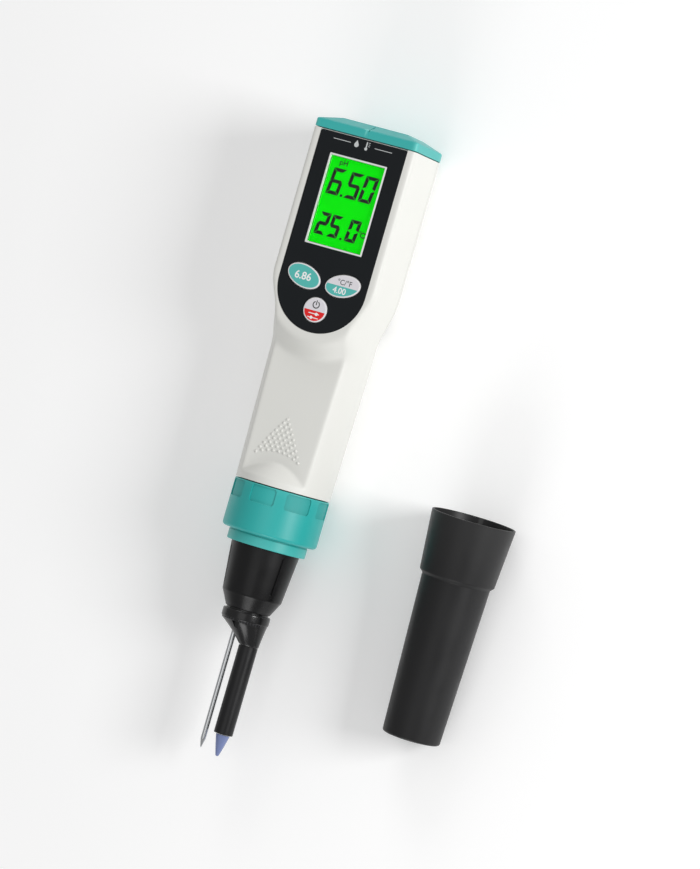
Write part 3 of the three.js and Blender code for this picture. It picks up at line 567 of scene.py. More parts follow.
def casing_section(station, count=240, softening=0.55):
    """One section as evenly spaced points (x, height), its corners softened."""
    radius = handle_radius(station)
    head = float(eased((station - HEAD_START) / (HEAD_FULL - HEAD_START)))
    corner = mixed(math.sqrt(radius ** 2 - FLAT_HEIGHT ** 2), HEAD_HALF_WIDTH - FRONT_EDGE, head)
    x = np.linspace(-corner, corner, 161)
    front = np.stack([x, front_height(x, station)], axis=1)
    corner_height = front[-1, 1]
    scoop = corner_height - mixed(FLAT_HEIGHT, FRONT_HEIGHT, head)
    t = np.linspace(0, 1, 60)
    flat_turn, side_turn, back_turn = math.asin(FLAT_HEIGHT / radius), math.radians(-19.5), math.radians(-62)
    turn = mixed(flat_turn, side_turn, t)
    wall = np.stack([mixed(radius * np.cos(turn), HEAD_HALF_WIDTH, head),
                     mixed(radius * np.sin(turn), mixed(FRONT_HEIGHT - FRONT_EDGE, -HEAD_SIDE_DEPTH, t), head)
                     + scoop * (1 - t)], axis=1)
    turn = mixed(side_turn, back_turn, t)
    sweep = t * math.pi / 2
    head_across = HEAD_BACK_HALF_WIDTH + (HEAD_HALF_WIDTH - HEAD_BACK_HALF_WIDTH) * np.cos(sweep)
    back = np.stack([
        mixed(radius * np.cos(turn), head_across, head),
        mixed(radius * np.sin(turn), -HEAD_SIDE_DEPTH - (BACK_DEPTH - HEAD_SIDE_DEPTH) * np.sin(sweep), head),
    ], axis=1)
    turn = mixed(back_turn, -math.pi / 2, t)
    under = np.stack([mixed(radius * np.cos(turn), HEAD_BACK_HALF_WIDTH * (1 - t), head),
                      mixed(radius * np.sin(turn), -BACK_DEPTH, head)], axis=1)
    right = np.concatenate([wall, back[1:], under[1:]])
    outline = np.concatenate([front, right, (right * (-1, 1))[-2::-1]])
    outline[:, 1] = np.maximum(outline[:, 1], -BACK_DEPTH)
    return softened(outline, count, softening)


def softened(outline, count, width):
    """Even points along a closed outline after a gaussian of the given width has rounded its corners."""
    step = np.linalg.norm(np.roll(outline, -1, axis=0) - outline, axis=1)
    keep = step > 1e-9
    outline, step = outline[keep], step[keep]
    length = np.concatenate([[0], np.cumsum(step)])
    ring = np.concatenate([outline, outline[:1]])
    fine = 2400
    places = np.linspace(0, length[-1], fine, endpoint=False)
    even = np.stack([np.interp(places, length, ring[:, axis]) for axis in (0, 1)], axis=1)
    pitch = length[-1] / fine
    reach = int(3 * width / pitch)
    weights = np.exp(-0.5 * (np.arange(-reach, reach + 1) * pitch / width) ** 2)
    weights /= weights.sum()
    wrapped = np.concatenate([even[-reach:], even, even[:reach]])
    smooth = np.stack([np.convolve(wrapped[:, axis], weights, "valid") for axis in (0, 1)], axis=1)
    picked = np.linspace(0, fine, count, endpoint=False).astype(int)
    return smooth[picked]


def casing_skin():
    stations = [SHELL_FOOT, SHELL_FOOT + 0.12]
    stations += list(np.arange(SHELL_FOOT + 0.6, SHOULDER_STATION + 2, 0.5))
    stations += list(np.arange(SHOULDER_STATION + 2, NECK_STATION - 6, 3))
    stations += list(np.arange(NECK_STATION - 6, HEAD_FULL + 2, 0.9))
    stations += list(np.arange(HEAD_FULL + 4, SHELL_TOP - 2, 5)) + [SHELL_TOP - 0.12, SHELL_TOP]
    rows = []
    for station in stations:
        rim = 0.994 if station in (SHELL_FOOT, SHELL_TOP) else 1
        rows.append([world(x * rim, station, height * rim) for x, height in casing_section(station)])
    return skin_rows("casing", rows, WHITE_BODY)


def head_hollow(inset=0.0):
    half_width = HEAD_HALF_WIDTH - WALL - inset
    front = FRONT_HEIGHT - PANEL_RECESS - WALL - inset
    corner = HEAD_HALF_WIDTH - HEAD_BACK_HALF_WIDTH - WALL - inset
    left = arc(-HEAD_BACK_HALF_WIDTH, -HEAD_SIDE_DEPTH, corner, 180, 270, 14)
    right = arc(HEAD_BACK_HALF_WIDTH, -HEAD_SIDE_DEPTH, corner, 270, 360, 14)
    return [(-half_width, front)] + left + right + [(half_width, front)]


def handle_hollow():
    front, radius = 10, 15.5
    edge = math.degrees(math.asin(front / radius))
    return arc(0, 0, radius, 180 - edge, 360 + edge, 60)


def hollowed(casing):
    cut(casing,
        channel("hollow", head_hollow(), HEAD_FULL + 1, SHELL_TOP + 1),
        channel("hollow", handle_hollow(), 111.5, 192),
        prism("hollow", tongue(17.2, HEAD_FULL + 3), -10, WALL_UNDERSIDE),
        lathe("hollow", [(0, 106), (15.9, 106), (15.9, 108.5), (14.8, 108.5), (14.8, 110.05), (15.2, 110.05),
                         (15.2, 111.6), (0, 111.6)]))
    return casing


def grip_studs():
    """Small domes in arched rows on the thumb flat, one object of separate domes."""
    rows, apex, pitch, spread, centre = 9, 133.4, 1.6, 9.1, -0.8
    domes = []
    for row in range(rows):
        share = row / (rows - 1)
        for i in range(row + 1):
            x = (2 * i / row - 1) * spread * share if row else 0
            station = apex - row * pitch - 0.0278 * x ** 2
            domes.append((centre + x, station))
    profile = [(0.6, -0.3), (0.6, 0), (0.56, 0.14), (0.48, 0.27), (0.34, 0.37), (0.17, 0.42)]
    sides = 16
    points, faces = [], []
    for x, station in domes:
        start = len(points)
        for radius, rise in profile:
            for point in circle(x, station, radius, sides):
                points.append(world(*point, FLAT_HEIGHT + rise))
        points.append(world(x, station, FLAT_HEIGHT + 0.43))
        for r in range(len(profile) - 1):
            for i in range(sides):
                j = (i + 1) % sides
                a, b = start + r * sides, start + (r + 1) * sides
                faces.append((a + i, a + j, b + j, b + i))
        last = start + (len(profile) - 1) * sides
        faces += [(last + i, last + (i + 1) % sides, len(points) - 1) for i in range(sides)]
        faces.append(tuple(start + i for i in range(sides))[::-1])
    return make_object("studs", points, faces, WHITE_BODY)


def build_casing():
    casing = casing_skin()
    solid = casing.copy()
    solid.data = casing.data.copy()
    bpy.context.collection.objects.link(solid)
    hollowed(casing)
    rear = casing.copy()
    rear.data = casing.data.copy()
    bpy.context.collection.objects.link(rear)
    front = casing
    crossed(front, block(-FAR, FAR, 0, 400, PARTING + SEAM / 2, FAR))
    crossed(rear, block(-FAR, FAR, 0, 400, -FAR, PARTING - SEAM / 2))

    for x, station in SCREWS.values():
        boss = post("boss", x, station, 3, PARTING + SEAM / 2, WALL_UNDERSIDE - 1 if x else 11)
        join(front, boss)
        cut(front, post("pilot", x, station, 1.75, PARTING - 1, 1.5))
        pillar = post("pillar", x, station, 4.3, -BACK_DEPTH - 1, PARTING - SEAM / 2)
        keep = solid.copy()
        keep.data = solid.data.copy()
        bpy.context.collection.objects.link(keep)
        crossed(pillar, keep)
        join(rear, pillar)
        cut(rear, post("well", x, station, 3.1, -BACK_DEPTH - 1, WELL_FLOOR),
            post("hole", x, station, 1.75, -BACK_DEPTH, PARTING + 1))
    bpy.data.objects.remove(solid)

    over = FRONT_HEIGHT + 1
    recess = tongue(PANEL_HALF_WIDTH + 0.15, SHELL_TOP + 1)
    cut(front, prism("recess", recess, FRONT_HEIGHT - PANEL_RECESS, over),
        prism("window", window(0), WALL_UNDERSIDE - 1, over),
        prism("key_hole", oval(-1, KEY_CLEARANCE), WALL_UNDERSIDE - 1, over),
        prism("key_hole", oval(1, KEY_CLEARANCE), WALL_UNDERSIDE - 1, over),
        prism("key_hole", circle(0, ROUND_STATION, ROUND_RADIUS + KEY_CLEARANCE), WALL_UNDERSIDE - 1, over))
    join(front, grip_studs())
    for obj, name, node in ((front, "casing_front", "front_shell"), (rear, "casing_rear", "rear_shell")):
        obj.name = name
        even_normals(obj, 38)
        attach(obj, "meter")
        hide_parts(node)


def dressed(obj, name, body, node=None, edges=None):
    """Names a finished piece, ties it to its body, evens its normals when given an edge angle, and hides the
    CAD node it stands for.
    """
    obj.name = name
    if edges:
        even_normals(obj, edges)
    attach(obj, body)
    if node:
        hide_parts(node)
    return obj


# ---- Display panel
def build_panel():
    low = FRONT_HEIGHT - PANEL_THICKNESS
    panel = prism("panel", tongue(PANEL_HALF_WIDTH, PANEL_TOP, 0.9, 120), low, FRONT_HEIGHT, PANEL_FILM,
                  top_edge=0.14)
    over = FRONT_HEIGHT + 1
    cut(panel, prism("opening", window(0), low - 1, over),
        prism("opening", oval(-1, KEY_CLEARANCE), low - 1, over),
        prism("opening", oval(1, KEY_CLEARANCE), low - 1, over),
        prism("opening", circle(0, ROUND_STATION, ROUND_RADIUS + KEY_CLEARANCE, 96), low - 1, over))
    dressed(panel, "panel_face", "meter", "panel_overlay", 30)

    bezel = prism("bezel", window(0.15, 0.35), 17, FRONT_HEIGHT + 0.1, KEY_RIM, top_edge=0.16)
    cut(bezel, prism("opening", window(0.75, 0.2), 16, over))
    dressed(bezel, "bezel", "meter", "display_bezel", 30)

    lens = prism("lens", window(1.0, 0.2), 18.2, 19.1, LENS_CLEAR, top_edge=0.08)
    dressed(lens, "lens", "meter", "display_lens", 30)
    glass = prism("cell_glass", window(1.0, 0.2), 15, LCD_FACE, DISPLAY_GREEN, top_edge=0.06)
    dressed(glass, "lcd", "meter", "display_glass", 30)


LCD_FACE = 17.9
SEGMENT = 1.42
SLANT = 0.1
DIGITS = {"0": "abcdef", "2": "abged", "5": "afgcd", "6": "afgecd"}


def digit(x, foot, width, height, lit):
    """Outlines of one slanted seven segment figure whose middle stands at x."""
    half, thick, gap = width / 2, SEGMENT, 0.09
    middle = height / 2

    def bar(level, side):
        low, high = level, level + side * thick
        inset = thick
        if side:
            return [(-half + gap, low), (half - gap, low),
                    (half - gap - inset, high), (-half + gap + inset, high)]
        point = thick / 2
        return [(-half + gap + 0.12, level), (-half + gap + point + 0.12, level - point),
                (half - gap - point - 0.12, level - point), (half - gap - 0.12, level),
                (half - gap - point - 0.12, level + point), (-half + gap + point + 0.12, level + point)]

    def upright(side, low, high):
        outer, inner = side * half, side * (half - thick)
        if low == 0:
            return [(outer, low + gap), (inner, low + thick + gap),
                    (inner, high - thick / 2 - gap), (outer, high - gap)]
        return [(outer, low + gap), (inner, low + thick / 2 + gap),
                (inner, high - thick - gap), (outer, high - gap)]

    shapes = {
        "a": bar(height, -1), "d": bar(0, 1), "g": bar(middle, 0),
        "f": upright(-1, middle, height), "b": upright(1, middle, height),
        "e": upright(-1, 0, middle), "c": upright(1, 0, middle),
    }
    return [[(x + px + SLANT * (py - middle), foot + py) for px, py in shapes[name]] for name in lit]


def line(points, thickness, closed=False):
    """A stroke of even thickness as convex outlines: a bar for each leg and a dot on each corner."""
    shapes = []
    half = thickness / 2
    legs = list(zip(points, points[1:]))
    if closed:
        legs.append((points[-1], points[0]))
    for (x0, y0), (x1, y1) in legs:
        length = math.hypot(x1 - x0, y1 - y0)
        nx, ny = (y0 - y1) / length * half, (x1 - x0) / length * half
        shapes.append([(x0 - nx, y0 - ny), (x1 - nx, y1 - ny), (x1 + nx, y1 + ny), (x0 + nx, y0 + ny)])
    for x, y in points:
        shapes.append(circle(x, y, half, 12))
    return shapes


def inked(name, shapes, face, material, lift=0.02, body="meter"):
    """Flat print on a face: every outline is a thin plate, each a hair over the last."""
    points, faces = [], []
    for number, outline in enumerate(shapes):
        area = sum(x0 * y1 - x1 * y0 for (x0, y0), (x1, y1) in zip(outline, outline[1:] + outline[:1]))
        ring = outline if area > 0 else outline[::-1]
        top = face + lift + 0.0004 * (number % 9)
        start, count = len(points), len(ring)
        points += [world(x, y, face - 0.03) for x, y in ring] + [world(x, y, top) for x, y in ring]
        faces.append(tuple(start + i for i in range(count))[::-1])
        faces.append(tuple(start + count + i for i in range(count)))
        for i in range(count):
            j = (i + 1) % count
            faces.append((start + i, start + j, start + count + j, start + count + i))
    mesh = bpy.data.meshes.new(name)
    mesh.from_pydata([tuple(point) for point in points], [], faces)
    mesh.materials.append(material)
    obj = bpy.data.objects.new(name, mesh)
    bpy.context.collection.objects.link(obj)
    soften(obj, 25)
    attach(obj, body)
    return obj


def ring_shape(x, y, radius, thickness, start=0, end=360, steps=24):
    points = arc(x, y, radius, start, end, steps)
    return line(points, thickness)


def build_display_marks():
    shapes = []
    for figure, x in (("6", -6.97), ("5", 0.6), ("0", 6.83)):
        shapes += digit(x, 221.5, 5.4, 10.5, DIGITS[figure])
    for figure, x in (("2", -7.6), ("5", -2.3), ("0", 5.4)):
        shapes += digit(x, 205.4, 4.56, 8.9, DIGITS[figure])
    shapes.append(rectangle(-3.95, -2.95, 221.45, 222.45))
    shapes.append(rectangle(0.85, 1.75, 205.35, 206.25))
    # degree sign and C
    shapes += ring_shape(8.5, 210.45, 0.3, 0.24, steps=14)
    shapes += ring_shape(9.85, 209.3, 0.95, 0.42, 45, 315, 16)
    # p and H
    shapes += line([(-7.5, 232.9), (-7.5, 234.7)], 0.36) + ring_shape(-6.95, 234.1, 0.55, 0.36, steps=14)
    left, right, low, high = -5.75, -4.5, 233.5, 235.3
    middle = (low + high) / 2
    for stroke in ([(left, low), (left, high)], [(right, low), (right, high)],
                   [(left, middle), (right, middle)]):
        shapes += line(stroke, 0.38)
    inked("lcd_figures", shapes, LCD_FACE, MARK_BLACK)


def lettered(text, x, station, face, height, material, body, weight=0.0, width=1.0):
    """Printed numerals centred on a face, from the built-in sans face."""
    curve = bpy.data.curves.new("print", "FONT")
    curve.body = text
    curve.size = 1
    curve.align_x, curve.align_y = "CENTER", "CENTER"
    curve.extrude = 0.01
    curve.offset = weight
    curve.resolution_u = 6
    shape = bpy.data.objects.new("print", curve)
    bpy.context.collection.objects.link(shape)
    seen = shape.evaluated_get(bpy.context.evaluated_depsgraph_get())
    mesh = bpy.data.meshes.new_from_object(seen)
    bpy.data.objects.remove(shape)
    corners = np.array([vertex.co for vertex in mesh.vertices])
    low, high = corners.min(axis=0), corners.max(axis=0)
    scale = height / (high[1] - low[1])
    middle = (low + high) / 2
    for vertex in mesh.vertices:
        px, py, pz = vertex.co
        vertex.co = world(x + (px - middle[0]) * scale * width, station + (py - middle[1]) * scale,
                          face + (0.02 if pz > 0 else -0.02))
    mesh.materials.clear()
    mesh.materials.append(material)
    obj = bpy.data.objects.new("print", mesh)
    bpy.context.collection.objects.link(obj)
    soften(obj, 25)
    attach(obj, body)
    return obj


# ---- Keys: a white body, two flat inlays and their print
KEY_FACE = KEY_TOP - 0.1
INLAY_FACE = KEY_FACE + 0.05
RIM_WIDTH = 0.52


def key_piece(name, outline, inlays):
    flange_low = WALL_UNDERSIDE - 1.1
    body = prism(name, outline(0), flange_low, KEY_FACE, KEY_RIM, top_edge=0.34)
    join(body, prism("flange", outline(0.7), flange_low, flange_low + 0.7))
    stem_x, stem_station = np.array(outline(0)).mean(axis=0)
    join(body, post("stem", stem_x, stem_station, 1.5, flange_low - 1.1, flange_low + 0.1))
    dressed(body, name + "_body", name, name, 34)
    for part, shape, material, finish in inlays:
        plate = prism(part, shape, KEY_FACE - 0.2, INLAY_FACE, material, top_edge=0.03)
        dressed(plate, f"{name}_{part}", name, edges=30)


def build_keys():
    key_piece("key_left", lambda growth: oval(-1, growth),
              [("inlay", oval(-1, -RIM_WIDTH), KEY_TEAL, "key_teal")])
    right = oval(1, -RIM_WIDTH)
    split = OVAL_STATION - 0.1
    key_piece("key_right", lambda growth: oval(1, growth),
              [("upper", above(right, split + 0.03), KEY_GREY, "key_grey"),
               ("lower", below(right, split - 0.03), KEY_TEAL, "key_teal")])
    disc = circle(0, ROUND_STATION, ROUND_RADIUS - RIM_WIDTH, 96)
    split = ROUND_STATION - 0.35
    key_piece("key_power", lambda growth: circle(0, ROUND_STATION, ROUND_RADIUS + growth, 96),
              [("upper", above(disc, split + 0.03), KEY_GREY, "key_grey"),
               ("lower", below(disc, split - 0.03), KEY_RED, "key_red")])

    lettered("6.86", -8.6, 188.45, INLAY_FACE, 3.1, MARK_WHITE, "key_left", 0.018, 0.98).name = "print_left"
    low_print = lettered("4.00", 7.5, 186.5, INLAY_FACE, 2.4, MARK_WHITE, "key_right", 0.018, 0.98)
    low_print.name = "print_right_low"
    units = lettered("°C/°F", 8.9, 189.95, INLAY_FACE, 2.15, MARK_GREY_DARK, "key_right", 0.006, 0.95)
    units.name = "print_units"

    ring = ring_shape(0, 178.9, 1.3, 0.4, 125, 415, 26) + line([(0, 178.9), (0, 180.45)], 0.4)
    inked("print_power", ring, INLAY_FACE, MARK_GREY_DARK, body="key_power")
    sliders = []
    for station, knob in ((175.35, 1.1), (173.75, -0.7)):
        sliders += line([(-2.1, station), (2.1, station)], 0.34) + [circle(knob, station, 0.62, 24)]
    inked("print_adjust", sliders, INLAY_FACE, MARK_WHITE, body="key_power")


def build_panel_marks():
    """A droplet and a thermometer between two fine rules at the panel's head."""
    station = 242.7
    drop_x, drop_size = -2.6, 0.92
    drop = [(px * drop_size + drop_x, station - 0.35 + py * drop_size)
            for px, py in arc(0, 0, 1, -215, 35, 24) + [(0, 2.05)]]
    shapes = [drop]
    shapes += line([(1.6, station - 0.9), (1.6, station + 1.5)], 0.5) + [circle(1.6, station - 1.0, 0.62, 20)]
    for level in (0.1, 0.8, 1.5):
        shapes += line([(2.35, station + level), (2.9, station + level)], 0.2)
    for side in (-1, 1):
        shapes += line([(side * 5.2, station), (side * 12.4, station)], 0.24)
    inked("panel_marks", shapes, FRONT_HEIGHT, MARK_GREY)


def slanted_bar(name, x, width, start, end, depth=0.95):
    """A bar across one width whose middle line runs between two (station, height) points."""
    (s0, h0), (s1, h1) = start, end
    length = math.hypot(s1 - s0, h1 - h0)
    across_s, across_h = (h1 - h0) / length * depth / 2, (s0 - s1) / length * depth / 2
    rows = []
    for station, height in (start, end):
        rows.append([world(x + side * width / 2, station + way * across_s, height + way * across_h)
                     for side, way in ((-1, -1), (1, -1), (1, 1), (-1, 1))])
    return skin_rows(name, rows, None)


# ---- Top cover
def build_cover():
    rows = []
    band_top = COVER_FOOT + COVER_BAND
    section = casing_section(COVER_FOOT)
    shrink = COVER_PLATEAU / HEAD_HALF_WIDTH

    def row(station, scale, inset=0.0):
        size = scale - inset / 20
        return [world(x * size, station, height * size) for x, height in section]

    rows.append(row(COVER_FOOT, 1, 0.22))
    rows.append(row(COVER_FOOT + 0.1, 1, 0.06))
    rows.append(row(COVER_FOOT + 0.25, 1))
    slope = (1 - shrink) / (COVER_END - band_top)
    for t in (-0.7, -0.35, 0, 0.35, 0.7):
        reach = 0.45
        station = band_top + t * reach
        rows.append(row(station, 1 - slope * reach * max(0, (t + 0.7)) ** 2 / 2.8))
    for t in np.linspace(0.2, 0.85, 6):
        rows.append(row(mixed(band_top, COVER_END, t), mixed(1, shrink, t)))
    rows.append(row(COVER_END - 0.22, mixed(1, shrink, 0.93)))
    rows.append(row(COVER_END - 0.07, shrink + 0.012))
    rows.append(row(COVER_END, shrink - 0.03))
    rows.append(row(COVER_END, shrink - 0.1))
    cover = skin_rows("cover", rows, TEAL_BODY)
    join(cover, channel("spigot", head_hollow(0.35), COVER_FOOT - 3.5, COVER_FOOT + 0.5))
    groove = channel("groove", head_hollow(-1), 243.3, 244.6)
    cut(groove, channel("core", head_hollow(1.15), 242, 246))
    cut(cover, channel("hollow", head_hollow(2), COVER_FOOT - 5, COVER_FOOT + 1.6), groove,
        slanted_bar("tick", 0.95, 0.5, (band_top - 0.35, FRONT_HEIGHT + 0.45), (COVER_END - 0.75, 14.2)))
    dressed(cover, "cover", "top_cover", "top_cover", 34)
    seal = channel("seal", head_hollow(0.12), 243.4, 244.5, RUBBER, edge=0.3)
    cut(seal, channel("core", head_hollow(0.85), 242, 246))
    dressed(seal, "cover_seal_ring", "top_cover", "cover_seal", 34)


# ---- Locking ring
def build_ring():
    bore, seat = 14.15, 88.2
    profile = [
        (bore, COLLAR_FOOT + 0.15), (bore + 0.15, COLLAR_FOOT), (COLLAR_RADIUS - 0.4, COLLAR_FOOT),
        (COLLAR_RADIUS - 0.12, COLLAR_FOOT + 0.1), (COLLAR_RADIUS, COLLAR_FOOT + 0.4),
        (COLLAR_RADIUS, RING_FOOT - 0.75), (COLLAR_RADIUS - 0.22, RING_FOOT - 0.6),
        (COLLAR_RADIUS - 0.22, RING_FOOT - 0.25), (COLLAR_RADIUS, RING_FOOT - 0.1),
        (COLLAR_RADIUS + 0.1, RING_FOOT), (17.5, RING_FOOT)]
    for angle in (15, 30, 45, 60, 75, 90):
        turn = math.radians(angle)
        profile.append((17.5 + 1.5 * math.sin(turn), RING_FOOT + 1.5 * (1 - math.cos(turn))))
    profile += [(RING_RADIUS, RING_TOP - 7.8), (RING_RADIUS, RING_TOP - 7.3), (RING_RADIUS, RING_TOP - 0.45),
                (RING_RADIUS - 0.1, RING_TOP - 0.15), (RING_RADIUS - 0.35, RING_TOP),
                (RING_BORE, RING_TOP), (RING_BORE, seat), (bore, seat)]
    ring = lathe("ring", profile, TEAL_BODY, sides=192, closed=True)
    floor = RING_RADIUS - 0.45
    foot, top, corner = RING_TOP - 7.1, RING_TOP - 0.5, 0.9
    half = math.radians(16)
    outline = rectangle(-half * RING_RADIUS, half * RING_RADIUS, foot, top, corner)
    flat = rounded_grid(outline)
    for i in range(GRIP_PADS):
        turn = 2 * math.pi * i / GRIP_PADS
        tool = curved_pad("pad", flat, turn, floor, RING_RADIUS + 1, TEAL_PAD)
        cut(ring, tool)
    dressed(ring, "ring", "locking_ring", "locking_ring", 34)


def rounded_grid(outline):
    """An outline with its long edges divided, so that it can be bent round a cylinder."""
    points = []
    for (x0, y0), (x1, y1) in zip(outline, outline[1:] + outline[:1]):
        steps = max(1, int(abs(x1 - x0) / 0.5))
        points += [(x0 + (x1 - x0) * k / steps, y0 + (y1 - y0) * k / steps) for k in range(steps)]
    return points


def curved_pad(name, outline, turn, low, high, material):
    """An outline bent round the long axis between two radii: a strip across each station."""
    columns = 22
    xs = np.linspace(min(x for x, _ in outline), max(x for x, _ in outline), columns)
    xs[0] += 1e-4
    xs[-1] -= 1e-4
    rows = []
    for x in xs:
        crossings = []
        for (x0, y0), (x1, y1) in zip(outline, outline[1:] + outline[:1]):
            if (x0 <= x < x1) or (x1 <= x < x0):
                crossings.append(y0 + (y1 - y0) * (x - x0) / (x1 - x0))
        foot, top = min(crossings), max(crossings)
        angle = turn + x / RING_RADIUS
        corners = ((low, foot), (high, foot), (high, top), (low, top))
        rows.append([world(radius * math.sin(angle), station, radius * math.cos(angle))
                     for radius, station in corners])
    return skin_rows(name, rows, material)


# ---- Electrode
CONE_FOOT = 57.8
CONE_EDGE_RADIUS, CONE_EDGE = 11.92, 64
CONE_TOP_RADIUS, CONE_TOP = 13.65, 82.8
CORE_BORE, STEM_RADIUS, STEM_TOP = 6.5, 12, 110.6
GROOVE_FOOT, GROOVE_TOP, GROOVE_DEPTH = 66, 81.2, 0.45
GROOVE_TURNS = (-124, -56, 56, 124)  # degrees about the long axis, from the front
TUBE_FOOT, TUBE_TOP = 8.9, 44.2
SEAT_TOP = 56.5


def build_probe():
    build_cone()
    build_holder()
    build_tube()
    build_tip()
    build_pin()


def build_cone():
    collar_radius, collar_foot, collar_top = 15.3, 88.5, 91.6
    ring_groove_radius, ring_groove_foot, ring_groove_top = 10.8, 98, 100
    plug_bore, plug_seat = 9.3, 106.2
    profile = [
        (CORE_BORE, CONE_FOOT), (8.7, CONE_FOOT), (8.95, CONE_FOOT + 0.15), (11.35, 62.7), (11.62, 63.15),
        (11.84, 63.55), (CONE_EDGE_RADIUS, CONE_EDGE), (CONE_TOP_RADIUS, CONE_TOP),
        (CONE_TOP_RADIUS, collar_foot), (collar_radius, collar_foot), (collar_radius, collar_top),
        (STEM_RADIUS, collar_top),
        (STEM_RADIUS, ring_groove_foot), (ring_groove_radius, ring_groove_foot),
        (ring_groove_radius, ring_groove_top), (STEM_RADIUS, ring_groove_top), (STEM_RADIUS, STEM_TOP - 0.2),
        (STEM_RADIUS - 0.2, STEM_TOP), (plug_bore, STEM_TOP), (plug_bore, plug_seat), (CORE_BORE, plug_seat)]
    body = lathe("cone", profile, BLACK_BODY, sides=160, closed=True)
    for angle in GROOVE_TURNS:
        cut(body, groove_tool(math.radians(angle)))
    dressed(body, "cone", "electrode", "probe_body", 32)


def build_holder():
    nose_foot, flange_foot, flange_top = 44.5, 53.3, 57.1
    radius, neck_radius, neck_top, core_radius, core_top = 9.5, 8.4, flange_top + 0.62, 6.2, 80
    profile = [
        (0, flange_foot + 0.2), (9.0, flange_foot + 0.2), (9.3, flange_foot + 0.3),
        (9.45, flange_foot + 0.55), (radius, flange_foot + 0.9), (radius, flange_top - 0.7),
        (9.42, flange_top - 0.35),
        (9.25, flange_top - 0.1), (8.9, flange_top), (neck_radius, flange_top), (neck_radius, neck_top),
        (core_radius, neck_top), (core_radius, core_top), (0, core_top)]
    holder = lathe("holder", profile, BLACK_GLOSS, sides=144)
    rows = [nose_ring(3.8, nose_foot, TUBE_X), nose_ring(3.89, nose_foot + 0.08, TUBE_X - 0.02)]
    for t in np.linspace(0.06, 1, 12):
        flare = t - 0.07 * math.sin(math.pi * t)
        station = mixed(nose_foot, flange_foot - 0.3, t)
        rows.append(nose_ring(mixed(3.9, 9.1, flare), station, TUBE_X * (1 - flare)))
    rows.append(nose_ring(9.15, flange_foot + 0.35, 0))
    nose = skin_rows("nose", rows, BLACK_GLOSS)
    join(holder, nose)
    recess = [(-1.75, flange_foot - 0.5), (0.0, 49.1), (0.5, 49.1), (1.65, flange_foot - 0.5)]
    cut(holder, prism("recess", recess, 6.9, FAR),
        bore_tool("tube_bore", TUBE_X, 3.6, 40, 56.8, 64),
        bore_tool("pin_bore", PIN_X, PIN_RADIUS + 0.3, 40, 56.8, 40),
        bore_tool("lead_bore", 3, 2.2, 56.1, 81, 40))
    dressed(holder, "holder", "electrode", "probe_holder", 32)


def build_tube():
    spigot_radius, lead_bore = 3.3, 2.6
    tube = lathe("tube", [
        (3.0, TUBE_FOOT + 0.15), (3.1, TUBE_FOOT), (3.6, TUBE_FOOT), (3.74, TUBE_FOOT + 0.1),
        (TUBE_RADIUS, TUBE_FOOT + 0.35), (TUBE_RADIUS, TUBE_TOP), (spigot_radius, TUBE_TOP),
        (spigot_radius, SEAT_TOP), (lead_bore, SEAT_TOP), (lead_bore, TUBE_TOP), (3.0, TUBE_TOP - 1)],
        BLACK_BODY, x=TUBE_X, sides=96, closed=True)
    dressed(tube, "tube", "electrode", "electrode_tube", 32)


def build_tip():
    tip = lathe("tip", [
        (0, 0), (0.28, 0.02), (0.5, 0.14), (0.68, 0.42), (0.86, 1.0), (1.15, 2), (1.8, 4.4), (2.4, 6.9),
        (2.66, 8.0), (2.72, 8.3), (2.72, 8.6), (0, 8.6)], TIP_GLASS, x=TUBE_X, sides=80, smooth_angle=50)
    dressed(tip, "tip", "electrode", "glass_tip", 50)


def build_pin():
    pin = lathe("pin", [
        (0, 1.2), (0.1, 1.22), (0.2, 1.34), (0.5, 2.55), (0.8, 3.75), (1.0, 4.55), (1.05, 4.8),
        (PIN_RADIUS, 5.1), (PIN_RADIUS, SEAT_TOP), (0, SEAT_TOP)], STEEL, x=PIN_X, sides=48, smooth_angle=50)
    dressed(pin, "pin", "electrode", "temperature_pin", 50)


def bore_tool(name, x, radius, foot, top, sides):
    return lathe(name, [(0, foot), (radius, foot), (radius, top), (0, top)], x=x, sides=sides)


def nose_ring(radius, station, x, count=96):
    return [world(px, station, py) for px, py in circle(x, 0, radius, count)]


def groove_tool(turn, half_width=0.45):
    """A bar that cuts a groove down the cone's side, its ends run out to nothing."""
    rows = []
    side = Vector((math.cos(turn), 0, -math.sin(turn)))
    out = Vector((math.sin(turn), 0, math.cos(turn)))
    over, run_out = 16, 0.6
    for station in (GROOVE_FOOT, GROOVE_FOOT + run_out, GROOVE_TOP - run_out, GROOVE_TOP):
        share = (station - CONE_EDGE) / (CONE_TOP - CONE_EDGE)
        surface = CONE_EDGE_RADIUS + (CONE_TOP_RADIUS - CONE_EDGE_RADIUS) * share
        depth = 0.0 if station in (GROOVE_FOOT, GROOVE_TOP) else GROOVE_DEPTH
        bottom = surface - depth
        ring = []
        for across, radius in ((-half_width, over), (-half_width, bottom),
                               (half_width, bottom), (half_width, over)):
            local = side * across + out * radius
            ring.append(world(local.x, station, local.z))
        rows.append(ring)
    return skin_rows("groove", rows, None)


# ---- Protective cap, lying on the bench on its mouth's rim and its foot's rim
CAP = {"x": 76.4, "station": 29, "yaw": -1.2, "length": 87.8, "step": 23.5, "mouth": 16.65, "shoulder": 14.9,
       "neck": 13.55, "foot": 11.45, "wall": 0.8}


